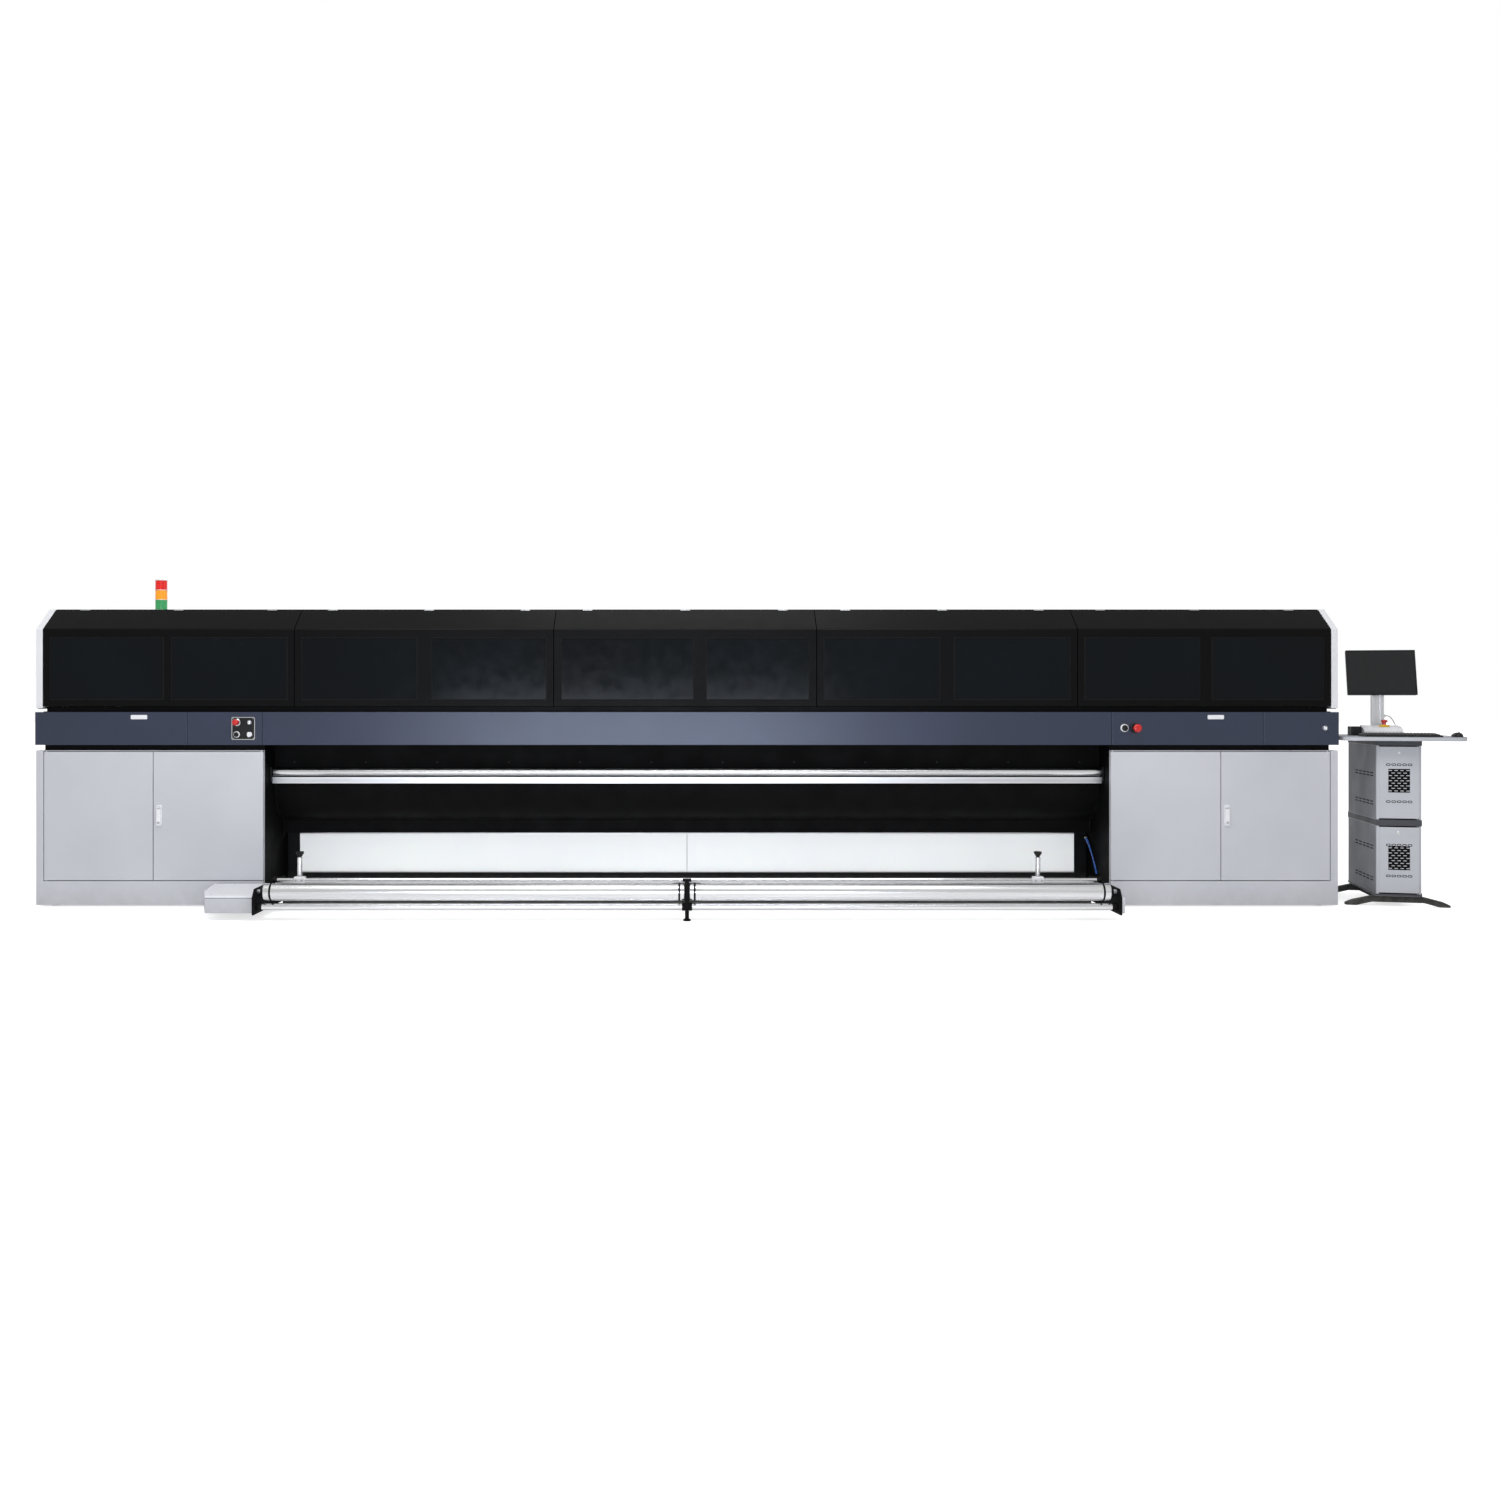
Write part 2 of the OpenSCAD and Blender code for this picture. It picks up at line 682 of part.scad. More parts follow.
module unwind_frame() at_origin() color(dark_steel) {
    both_ends() difference() {
        union() {
            along_x(half_unwind, half_unwind + unwind_plate_t) polygon([
                [body_d, 180], [unwind_y + 60, 180], [unwind_y + unwind_plate_r * 0.8, unwind_z - 60],
                [unwind_y + 60, unwind_z + 90], [unwind_y - 60, unwind_z + 90], [body_d, unwind_z + 160]
            ]);
            rod_x(unwind_plate_r, half_unwind, half_unwind + unwind_plate_t, unwind_y, unwind_z);
            span([half_unwind, body_d, 180], [half_aperture + 120, body_d + 10, unwind_z + 160]);
        }
        rod_x(unwind_journal_r + run_gap, half_unwind - eps, half_unwind + unwind_plate_t + eps,
            unwind_y, unwind_z);
    }
    span([-half_unwind - 1, body_d + 30, 185], [half_unwind + 1, body_d + 90, 245]);
}

// Hood covers

// Cover i: its skin with two windows, their panes, and the moving hinge knuckles
module cover(i) {
    x0 = cover_x0(i);
    x1 = cover_x1(i);
    t = cover_skin;
    z0 = hood_z0 + 4;
    w0 = hood_z0 + window_sill + 4;
    w1 = hood_z1 - window_head;
    s0 = stile_x(i) - mid_stile_w[i] / 2;
    s1 = stile_x(i) + mid_stile_w[i] / 2;
    lanes = [[x0 + window_edge, s0], [s1, x1 - window_edge]];
    top_y = hinge_y - hinge_r - 3;
    fall = slope_h / slope_d;
    top_z = hood_z2 - (slope_d - top_y) * fall;
    color(dark_steel) difference() {
        union() {
            along_x(x0, x1) polygon([
                [0, z0], [0, hood_z1], [top_y, top_z],
                [top_y, top_z - t * 1.25], [t, hood_z1 - t * 0.4], [t, z0]
            ]);
            // frame round the windows
            span([x0, t / 2, z0], [x1, cover_t, w0]);
            span([x0, t / 2, w1], [x1, cover_t, hood_z1 - t]);
            for (s = [[x0, x0 + window_edge], [s0, s1], [x1 - window_edge, x1]])
                span([s[0], t / 2, z0], [s[1], cover_t, hood_z1 - t]);
        }
        for (l = lanes) span([l[0], -eps, w0], [l[1], t + eps, w1]);
    }
    color("#1a2228") for (l = lanes)
        span([l[0] + clear, t, w0 + clear], [l[1] - clear, t + pane_t, w1 - clear]);
    color(dark_steel) for (x = hinge_xs(i)) difference() {
        union() {
            rod_x(hinge_r - 1, x - knuckle_l / 2, x + knuckle_l / 2, hinge_y, hinge_z);
            span([x - knuckle_l / 2, top_y - 8, hinge_z - 4], [x + knuckle_l / 2, hinge_y - 1, hinge_z]);
        }
        rod_x(hinge_pin_r + run_gap, x - knuckle_l, x + knuckle_l, hinge_y, hinge_z);
    }
}

module cover_1() at_origin() cover(0);

module cover_2() at_origin() cover(1);

module cover_3() at_origin() cover(2);

module cover_4() at_origin() cover(3);

module cover_5() at_origin() cover(4);

// Cabinet doors and handles

// Folded door from x0 to x1, pivoting at x; a door with a handle carries its bezel at its left edge
module door(x0, x1, x, handle_x = undef) {
    difference() {
        span([x0, 0, door_z0], [x1, door_t, door_z1]);
        span([x0 + 22, 2, door_z0 + 22], [x1 - 22, door_t + eps, door_z1 - 22]);
    }
    for (z = [[door_z0 - door_gap - sheet + 0.5, door_z0 + 1], [door_z1 - 1, cabinet_h]])
        rod_z(door_pin_r, z[0], z[1], x, pivot_y);
    if (handle_x != undef) translate([handle_x, 0, 0]) difference() {
        half = handle_w / 2;
        translate([-half, 0, handle_z0]) along_y(-8, 0.5) rounded(handle_w, handle_h, 8);
        translate([4 - half, 0, handle_z0 + 5]) along_y(-9, -3) rounded(handle_w - 8, handle_h - 10, 5);
        rod_x(handle_pin_r + run_gap, 1 - half, half - 1, handle_pivot_y, handle_pivot_z);
    }
}

module handle(x) translate([x, 0, 0]) {
    half = handle_w / 2;
    translate([4.5 - half, 0, handle_z0 + 5.5]) along_y(-14, -3.5) rounded(handle_w - 9, handle_h - 25, 5);
    rod_x(handle_pin_r, 1.5 - half, half - 1.5, handle_pivot_y, handle_pivot_z);
    span([5 - half, handle_pivot_y - 2, handle_z0 + handle_h - 30],
        [half - 5, handle_pivot_y + 1.8, handle_pivot_z]);
}

module left_outer_door() at_origin() color(white_steel)
    door(-half_body + post_w + door_gap, -door_meet - door_gap / 2, -door_pivots[1]);

module left_inner_door() at_origin() color(white_steel)
    door(-door_meet + door_gap / 2, -half_aperture, -door_pivots[0], left_handle_x);

module right_inner_door() at_origin() color(white_steel)
    door(half_aperture, door_meet - door_gap / 2, door_pivots[0]);

module right_outer_door() at_origin() color(white_steel)
    door(door_meet + door_gap / 2, half_body - post_w - door_gap, door_pivots[1], right_handle_x);

module left_handle() at_origin() color("#e6e7ea") handle(left_handle_x);

module right_handle() at_origin() color("#e6e7ea") handle(right_handle_x);

// Print unit

module print_carriage() at_origin() color("#3a3d42") {
    half = carriage_w / 2;
    translate([park_x, 0, 0]) {
        difference() {
            span([-half, carriage_y0, carriage_z0], [half, carriage_y1, carriage_z1]);
            span([-half + 8, carriage_y0 + 8, carriage_z0 + 8], [half - 8, carriage_y1 - 8, carriage_z1 - 8]);
        }
        // print heads in staggered rows, and a curing lamp at each end
        for (row = [0:3], k = [0:2])
            translate([k * 140 + (row % 2) * 40 - 190, carriage_y0 + 70 + row * 90, platen_top + head_gap])
                cube([80, 50, carriage_z0 + 60 - platen_top - head_gap]);
        for (side = [-1, 1])
            span([side * (half - 75) - 55, carriage_y0 + 40, platen_top + 2 * head_gap],
                [side * (half - 75) + 55, carriage_y1 - 60, carriage_z0 + 90]);
        // bearing blocks round the rails
        for (x = [-half + 60, half - 140], z = rail_z) difference() {
            span([x, carriage_y1 - 2, z - 26], [x + 80, gantry_y0 - 2, z + 26]);
            span([x - eps, gantry_y0 - rail_size - clear, z - rail_size / 2 - clear],
                [x + 80 + eps, gantry_y0, z + rail_size / 2 + clear]);
        }
        span([-half, carriage_y1 - 12, carriage_z1 - 20], [half, carriage_y1, rail_z[1] + 30]);
    }
}

// Roller between two plates whose inner faces are at -inner and inner; its journals run in the plates
module plain_roller(r, journal_r, inner, plate, y, z) {
    half = inner - journal_gap;
    rod_x(r, -half, half, y, z);
    both_ends() rod_x(journal_r, half - 1, inner + plate - 1, y, z);
}

module drive_roller() at_origin() color("#3b3b3d")
    plain_roller(drive_r, drive_journal_r, half_aperture - bracket_t, bracket_t, drive_y, drive_z);

module pinch_roller() at_origin() color("#55585c")
    plain_roller(pinch_r, pinch_journal_r, half_aperture - bracket_t, bracket_t, drive_y, pinch_z);

module guide_roller() at_origin() color(silver)
    plain_roller(guide_r, guide_journal_r, half_aperture - guide_bracket_t, guide_bracket_t,
        guide_y, guide_z);

// One take-up shaft, from the centre support to the right-hand end plate
module takeup_shaft() {
    x0 = support_t / 2 + 5;
    x1 = half_takeup - 42;
    rod_x(shaft_r, x0, x1, takeup_y, takeup_z);
    rod_x(takeup_journal_r, 1, x0 + 1, takeup_y, takeup_z);
    rod_x(takeup_journal_r, x1 - 1, half_takeup + plate_t - 1, takeup_y, takeup_z);
    // grip collar
    rod_x(shaft_r - 12, x1 - 1, x1 + 18, takeup_y, takeup_z);
}

module takeup_shaft_left() at_origin() color(silver) mirror([1, 0, 0]) takeup_shaft();

module takeup_shaft_right() at_origin() color(silver) takeup_shaft();

module unwind_shaft() at_origin() color(silver)
    plain_roller(unwind_r, unwind_journal_r, half_unwind, unwind_plate_t, unwind_y, unwind_z);

// Edge guide: a clamp that slides on the bar, with an upright and a clamping knob
module edge_guide(x) {
    difference() {
        union() {
            span([x - clamp_w / 2, bar_y - bar_r - 9, bar_z - bar_r - 7],
                [x + clamp_w / 2, bar_y + bar_r + 9, bar_z + bar_r + 7]);
            rod_z(15, bar_z + bar_r + 6, bar_z + 140, x, bar_y);
        }
        rod_x(bar_r + run_gap, x - clamp_w / 2 - eps, x + clamp_w / 2 + eps, bar_y, bar_z);
    }
    translate([x, bar_y, bar_z + 140]) cylinder(r1 = 9, r2 = 24, h = 26);
    rod_z(24, bar_z + 165, bar_z + 174, x, bar_y);
}

module edge_guide_left() at_origin() color(silver) edge_guide(guide_x[0]);

module edge_guide_right() at_origin() color(silver) edge_guide(guide_x[1]);

// Buttons and switches: each stem runs in its hole

module mushroom(x, z, face_y, stem_r, head_r, proud) {
    rod_y(stem_r, face_y - proud + 12, face_y + 22, x, z);
    translate([x, face_y - proud + 18, z]) rotate([90, 0, 0]) {
        cylinder(r1 = head_r * 0.8, r2 = head_r, h = 8);
        translate([0, 0, 8]) cylinder(r1 = head_r, r2 = head_r * 0.72, h = 10);
    }
}

module push_button(x, z, face_y, stem_r, cap_r) {
    rod_y(stem_r, face_y - 14, face_y + 20, x, z);
    rod_y(cap_r, face_y - 18, face_y - 8, x, z);
}

module beam_stop_button() at_origin() color(signal_red) mushroom(stop_x, button_z, 0, 11, 26, 58);

module beam_start_button() at_origin() color("#e8e8e8") push_button(start_x, button_z, 0, 14, 25);

module panel_stop_button() at_origin() color(signal_red)
    mushroom(panel_x - panel_step[0], panel_z + panel_step[1], -panel_t, 11, 20, 42);

module panel_start_button() at_origin() color("#e8e8e8")
    push_button(panel_x - panel_step[0], panel_z - panel_step[1], -panel_t, 12, 20);

module turn_knob(x, z, face_y, stem_r, cap_r, wing) {
    rod_y(stem_r, face_y - 12, face_y + 20, x, z);
    rod_y(cap_r, face_y - 10, face_y - 0.5, x, z);
    span([x - wing[0] / 2, face_y - 24, z - wing[1] / 2], [x + wing[0] / 2, face_y - 9, z + wing[1] / 2]);
}

module panel_selector() at_origin() color(silver)
    turn_knob(panel_x + panel_step[0], panel_z + panel_step[1], -panel_t, 9, 14, [8, 26]);

module panel_lever() at_origin() color("#eceded")
    turn_knob(panel_x + panel_step[0], panel_z - panel_step[1], -panel_t, 9, 16, [13, 32]);

module key_lock() at_origin() color(silver) turn_knob(lock_x, button_z, 0, 9, 17, [3, 20]);

// Console

module console_base() at_console() color(dark_steel) {
    w = 600;
    mid = console_w / 2;
    for (v = [40, console_d - 60]) {
        along_y(v - 22, v + 22) polygon([
            [mid - w / 2, 0], [mid - w / 2, 14], [mid - w / 2 + 40, 34], [mid - 130, foot_h],
            [mid + 130, foot_h], [mid + w / 2 - 40, 34], [mid + w / 2, 14], [mid + w / 2, 0],
            [mid + w / 2 - 60, 0],
            [mid + 150, 24], [mid - 150, 24], [mid - w / 2 + 60, 0]
        ]);
    }
    for (u = [mid - 90, mid + 50]) span([u, 62, 26], [u + 40, console_d - 80, foot_h]);
}

// Slot with round ends, along u
module slot_v(u, z, len_u, high, y0, y1) {
    span([u - len_u / 2 + high / 2, y0, z - high / 2], [u + len_u / 2 - high / 2, y1, z + high / 2]);
    for (side = [-1, 1]) rod_y(high / 2, y0, y1, u + side * (len_u / 2 - high / 2), z);
}

module console_cabinet() at_console() color("#b9bbc0") {
    t = 2;
    top = table_z - table_t;
    band_z = console_band_z;
    difference() {
        translate([0, 0, foot_h]) linear_extrude(top - foot_h) rounded(console_w, console_d, 14);
        // the two bays, open towards the doors
        for (z = [[foot_h + 12, band_z], [band_z + band_h, top - 30]])
            span([bay_wall, -eps, z[0]], [console_w - bay_wall, console_d - t, z[1]]);
        // pivot holes of the two doors
        for (z = [[foot_h + 2, foot_h + 13], [band_z - 1, band_z + band_h + 1], [top - 31, top - 20]])
            rod_z(console_pin_r + run_gap, z[0], z[1], console_w - bay_wall - 10, 3);
        // side vents
        for (z = [console_split + 240, console_split - 260], k = [0:3])
            span([-eps, 150 + k * 90, z], [15, 210 + k * 90, z + 14]);
    }
}

// Door with a vent grid and two rows of oval slots
module console_door(z0, z1) {
    u0 = bay_wall + 1;
    u1 = console_w - bay_wall - 1;
    mid = console_w / 2;
    difference() {
        span([u0, 0, z0], [u1, 16, z1]);
        span([u0 + 6, 2, z0 + 6], [u1 - 6, 17, z1 - 6]);
        for (z = [z1 - 112, z0 + 105], k = [-2:2]) slot_v(mid + k * 34, z, 24, 10, -eps, 3);
        for (row = [-3:3], k = [-1:1]) slot_v(mid + k * 34, (z0 + z1) / 2 + 12 + row * 18, 26, 10, -eps, 3);
        rod_y(7, -eps, 3, mid, z1 - 36);
    }
    for (z = [[z0 - 8, z0 + 1], [z1 - 1, z1 + 8]]) rod_z(console_pin_r, z[0], z[1], u1 - 9, 3);
    rod_y(6.5, -3, 2.5, mid, z1 - 36);
    rod_y(10, -3, 0, mid, z1 - 36);
}

module console_upper_door() at_console() color("#c4c6ca")
    console_door(console_band_z + band_h + 9, table_z - table_t - 39);

module console_lower_door() at_console() color("#c4c6ca")
    console_door(foot_h + 21, console_band_z - 9);

module console_top() at_console() color("#a9abb0")
    translate([table_u0, table_v0, table_z - table_t])
        linear_extrude(table_t) rounded(table_w, table_d, table_corner);

module monitor_post() at_console() color(silver) {
    top = monitor_axis[2] + 30;
    span([post_u - 75, post_v - 60, table_z], [post_u + 75, post_v + 60, table_z + 8]);
    span([post_u - 36, post_v - 18, table_z + 8], [post_u + 36, post_v + 18, top]);
    // cable clip on the post's right side, and the tilt joint's fork
    span([post_u + 36, post_v - 12, table_z + 116], [post_u + 46, post_v + 4, table_z + 134]);
    difference() {
        for (u = [monitor_axis[0] - 40, monitor_axis[0] + 28]) {
            rod_x(11, u, u + 12, monitor_axis[1], monitor_axis[2]);
            span([u, monitor_axis[1], monitor_axis[2] - 11], [u + 12, post_v - 17, monitor_axis[2] + 11]);
        }
        rod_x(tilt_pin_r + run_gap, monitor_axis[0] - 50, monitor_axis[0] + 50,
            monitor_axis[1], monitor_axis[2]);
    }
}

module stop_box() at_console() color("#e9eaec") {
    difference() {
        translate([0, 0, table_z]) along_x(post_u - 150, post_u + 80)
            polygon([[160, 0], [262, 0], [262, 66], [184, 52], [160, 30]]);
        rod_z(11 + run_gap, table_z + 18, table_z + 80, post_u - 15, 225);
    }
    span([post_u - 215, 200, table_z], [post_u - 155, 290, table_z + 58]);
}

module console_stop_button() at_console() color(signal_red) {
    translate([post_u - 15, 225, table_z]) {
        translate([0, 0, 28]) cylinder(r = 11, h = 64);
        translate([0, 0, 86]) cylinder(r1 = 17, r2 = 20, h = 8);
        translate([0, 0, 94]) cylinder(r1 = 20, r2 = 14, h = 8);
    }
}

module keyboard_and_mouse() at_console() color("#16171a") {
    translate([console_w / 2 - 218, -88, table_z])
        along_x(0, 440) polygon([[0, 0], [0, 11], [140, 24], [146, 12], [146, 0]]);
    translate([428, -58, table_z]) linear_extrude(16) rounded(58, 104, 26);
    translate([432, -52, table_z + 16]) linear_extrude(12) rounded(50, 92, 23);
}

module keyboard_lead() at_console() color("#101113") {
    tube([for (p = lead_route) p + [0, 0, table_z]], lead_r);
}

// Monitor: panel leaning back about the tilt pin
module monitor() at_console() color("#0c0d0f") {
    translate(monitor_axis) rotate([-monitor_lean, 0, 0]) {
        difference() {
            span([-monitor_w / 2, -46, -monitor_h / 2], [monitor_w / 2, -24, monitor_h / 2]);
            // the screen lies inside its bezel
            span([-monitor_w / 2 + 11, -47, -monitor_h / 2 + 20],
                [monitor_w / 2 - 11, -44, monitor_h / 2 - 11]);
        }
        span([-120, -25, -90], [120, -16, 90]);
        span([-27.5, -17, -18], [27.5, -4, 18]);
        span([-27.5, -5, -9], [27.5, 0, 9]);
    }
    translate(monitor_axis) {
        rod_x(9, -27.5, 27.5, 0, 0);
        rod_x(tilt_pin_r, -39, 39, 0, 0);
    }
}

base_frame();
levelling_feet();
left_cabinet();
right_cabinet();
beam_fascia();
platen();
gantry_beam();
hood_shell();
hood_end_left();
hood_end_right();
signal_tower();
control_panel();
deflector();
light_box();
light_diffusers();
guide_profile();
takeup_frame();
tie_tubes();
centre_support();
takeup_covers();
air_hoses();
unwind_frame();
console_base();
console_cabinet();
console_top();
monitor_post();
stop_box();
keyboard_and_mouse();
keyboard_lead();
cover_1();
cover_2();
cover_3();
cover_4();
cover_5();
left_outer_door();
left_inner_door();
right_inner_door();
right_outer_door();
left_handle();
right_handle();
print_carriage();
drive_roller();
pinch_roller();
guide_roller();
takeup_shaft_left();
takeup_shaft_right();
unwind_shaft();
edge_guide_left();
edge_guide_right();
beam_stop_button();
beam_start_button();
panel_stop_button();
panel_start_button();
panel_selector();
panel_lever();
key_lock();
console_upper_door();
console_lower_door();
monitor();
console_stop_button();
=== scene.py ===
import json
import math

import bmesh
import bpy
from mathutils import Matrix, Vector


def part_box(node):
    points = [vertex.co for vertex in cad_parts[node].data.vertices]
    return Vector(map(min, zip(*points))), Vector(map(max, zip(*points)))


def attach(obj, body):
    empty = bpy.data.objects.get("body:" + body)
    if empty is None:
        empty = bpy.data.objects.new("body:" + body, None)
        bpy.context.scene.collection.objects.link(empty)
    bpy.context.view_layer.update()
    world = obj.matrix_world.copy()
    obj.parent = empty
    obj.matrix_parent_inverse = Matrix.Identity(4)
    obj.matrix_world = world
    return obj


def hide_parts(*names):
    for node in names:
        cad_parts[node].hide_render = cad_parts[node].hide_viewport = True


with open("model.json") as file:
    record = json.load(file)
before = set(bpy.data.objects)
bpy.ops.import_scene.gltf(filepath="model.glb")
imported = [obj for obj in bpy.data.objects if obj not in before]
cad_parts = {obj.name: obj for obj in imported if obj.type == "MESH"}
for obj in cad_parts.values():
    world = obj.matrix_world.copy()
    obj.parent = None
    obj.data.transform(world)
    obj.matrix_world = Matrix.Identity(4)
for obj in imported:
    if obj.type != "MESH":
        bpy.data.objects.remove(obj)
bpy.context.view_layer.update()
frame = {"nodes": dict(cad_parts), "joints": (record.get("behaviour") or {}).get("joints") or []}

mm = 0.001

# Pieces are built in millimetres in the printer's own axes: X from the printer's middle, Y from the cabinet fronts
middle = (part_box("platen")[0].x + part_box("platen")[1].x) / 2
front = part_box("right_cabinet")[0].y
printerAxes = Matrix.Translation((middle, front, 0)) @ Matrix.Scale(mm, 4)

# The console has axes of its own, turned about the vertical, from its cabinet's front left corner
joints = {joint["name"]: joint for joint in frame["joints"]}
tiltAxis = joints["monitor_tilt"]["axis"]
consoleTurn = Matrix.Rotation(math.atan2(tiltAxis[1], tiltAxis[0]), 4, "Z")
doorHinge = Vector(joints["console_upper_door_hinge"]["pos_m"])
doorHinge.z = 0
consoleAxes = Matrix.Translation(doorHinge) @ consoleTurn @ Matrix.Scale(mm, 4) @ Matrix.Translation((-236, -3, 0))


# A CAD node's low and high corners in millimetres, in the printer's axes
def cad(node):
    back = printerAxes.inverted()
    return [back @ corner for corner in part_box(node)]


def newObject(name, data):
    made = bpy.data.objects.new(name, data)
    bpy.context.scene.collection.objects.link(made)
    return made


# sRGB hex to the linear values that a shader takes
def linear(hexCode):
    channels = [int(hexCode[i:i + 2], 16) / 255 for i in (1, 3, 5)]
    return [c / 12.92 if c <= 0.04045 else ((c + 0.055) / 1.055) ** 2.4 for c in channels] + [1]


def addNode(tree, kind, inputs=None, **settings):
    node = tree.nodes.new(kind)
    for key, value in settings.items():
        setattr(node, key, value)
    for key, value in (inputs or {}).items():
        if isinstance(value, bpy.types.NodeSocket):
            tree.links.new(value, node.inputs[key])
        else:
            node.inputs[key].default_value = value
    return node


def startMaterial(name, **sockets):
    material = bpy.data.materials.new(name)
    material.use_nodes = True
    tree = material.node_tree
    shader = tree.nodes["Principled BSDF"]
    for key, value in sockets.items():
        shader.inputs[key.replace("_", " ")].default_value = value
    where = addNode(tree, "ShaderNodeTexCoord").outputs["Object"]
    return material, tree, shader, where


# Noise whose grains are size metres across, longer along an axis by stretch
def speckle(tree, where, size, detail=2.0, stretch=(1, 1, 1)):
    mapped = addNode(tree, "ShaderNodeMapping", {"Vector": where, "Scale": [1 / s for s in stretch]})
    return addNode(tree, "ShaderNodeTexNoise", {"Vector": mapped.outputs[0], "Scale": 1 / size,
                                                "Detail": detail}).outputs["Fac"]


def blendColours(tree, factor, first, second, low=0.3, high=0.7):
    spread = addNode(tree, "ShaderNodeMapRange", {"Value": factor, "From Min": low,
                                                  "From Max": high}).outputs["Result"]
    mix = addNode(tree, "ShaderNodeMix", {"Factor": spread}, data_type="RGBA")
    for socket, colour in ((6, first), (7, second)):
        if isinstance(colour, str):
            mix.inputs[socket].default_value = linear(colour)
        else:
            tree.links.new(colour, mix.inputs[socket])
    return mix.outputs[2]


def setRoughness(tree, shader, factor, low, high):
    spread = addNode(tree, "ShaderNodeMapRange", {"Value": factor, "From Min": 0.3, "From Max": 0.7, "To Min": low,
                                                  "To Max": high})
    tree.links.new(spread.outputs["Result"], shader.inputs["Roughness"])


def setBump(tree, shader, height, depth, strength=0.4):
    bump = addNode(tree, "ShaderNodeBump", {"Height": height, "Distance": depth, "Strength": strength})
    tree.links.new(bump.outputs[0], shader.inputs["Normal"])


# Paint that gets a little dusty towards the floor
def floorDust(tree, where, colour, dust, reach=0.16):
    height = addNode(tree, "ShaderNodeSeparateXYZ", {"Vector": where}).outputs["Z"]
    near = addNode(tree, "ShaderNodeMapRange", {"Value": height, "From Min": reach, "From Max": 0.0,
                                                "To Max": 0.3}).outputs["Result"]
    patches = addNode(tree, "ShaderNodeMath", {0: near, 1: speckle(tree, where, 0.05, 4)},
                      operation="MULTIPLY").outputs[0]
    return blendColours(tree, patches, colour, dust, 0.0, 0.6)


# Powder coat on sheet steel: an even satin colour over an orange-peel skin. The 2 mm peel is drawn at 5 mm, to show
def powderCoat(name, light, dark, gloss=(0.34, 0.46), dusty=True, shine=0.5):
    material, tree, shader, where = startMaterial(name, IOR=1.5, Specular_IOR_Level=shine)
    colour = blendColours(tree, speckle(tree, where, 0.7, 3), light, dark)
    if dusty:
        colour = floorDust(tree, where, colour, "#8d8a84")
    tree.links.new(colour, shader.inputs["Base Color"])
    setRoughness(tree, shader, speckle(tree, where, 0.12, 4), *gloss)
    setBump(tree, shader, speckle(tree, where, 5 * mm, 1), 0.25 * mm)
    return material


# A finish whose tones, roughness and skin each drift with noise of their own, given as (grain in metres, detail)
def surface(name, light, dark, tone, rough, patch, skin=None, depth=0.0, strength=0.4, contrast=(0.3, 0.7),
            tints=(), **sockets):
    material, tree, shader, where = startMaterial(name, **sockets)
    for socket, colour in tints:
        shader.inputs[socket].default_value = linear(colour)
    tree.links.new(blendColours(tree, speckle(tree, where, *tone), light, dark, *contrast),
                   shader.inputs["Base Color"])
    setRoughness(tree, shader, speckle(tree, where, *patch), *rough)
    if skin:
        setBump(tree, shader, speckle(tree, where, *skin), depth, strength)
    return material


# Anodised extrusion: fine die lines along X, a satin metal. 0.3 mm lines are drawn at 3 mm
def brushedAluminium(name, light, dark, rough=(0.26, 0.42)):
    material, tree, shader, where = startMaterial(name, Metallic=1.0)
    lines = speckle(tree, where, 3 * mm, 3, (200, 1, 1))
    tree.links.new(blendColours(tree, lines, light, dark), shader.inputs["Base Color"])
    setRoughness(tree, shader, lines, *rough)
    setBump(tree, shader, lines, 0.1 * mm, 0.3)
    return material


# Drawn and polished tube: bright, with long streaks and a few rubbed patches
def drawnSteel(name, light, dark, rough=(0.12, 0.26)):
    material, tree, shader, where = startMaterial(name, Metallic=1.0)
    streaks = speckle(tree, where, 4 * mm, 4, (200, 1, 1))
    rubbed = speckle(tree, where, 0.06, 3, (25, 1, 1))
    both = addNode(tree, "ShaderNodeMath", {0: streaks, 1: rubbed}, operation="MULTIPLY").outputs[0]
    tree.links.new(blendColours(tree, both, dark, light, 0.14, 0.32), shader.inputs["Base Color"])
    setRoughness(tree, shader, rubbed, *rough)
    setBump(tree, shader, streaks, 0.02 * mm, 0.1)
    return material


# Injection-moulded ABS: an even colour with a fine spark-eroded grain
def mouldedPlastic(name, light, dark, rough=(0.35, 0.5), **sockets):
    return surface(name, light, dark, (0.03, 3), rough, (0.02, 4), (2 * mm, 1), 0.1 * mm, 0.3, IOR=1.53, **sockets)


# Translucent polycarbonate lens: clear colour, with a faint painted glow in its own colour that keeps it bright at the
# edges where it would fall into shade
def lensPlastic(name, light, dark, glow):
    return surface(name, light, dark, (0.02, 3), (0.18, 0.28), (0.01, 3), tints=[("Emission Color", glow)],
                   IOR=1.58, Transmission_Weight=0.25, Emission_Strength=0.35)


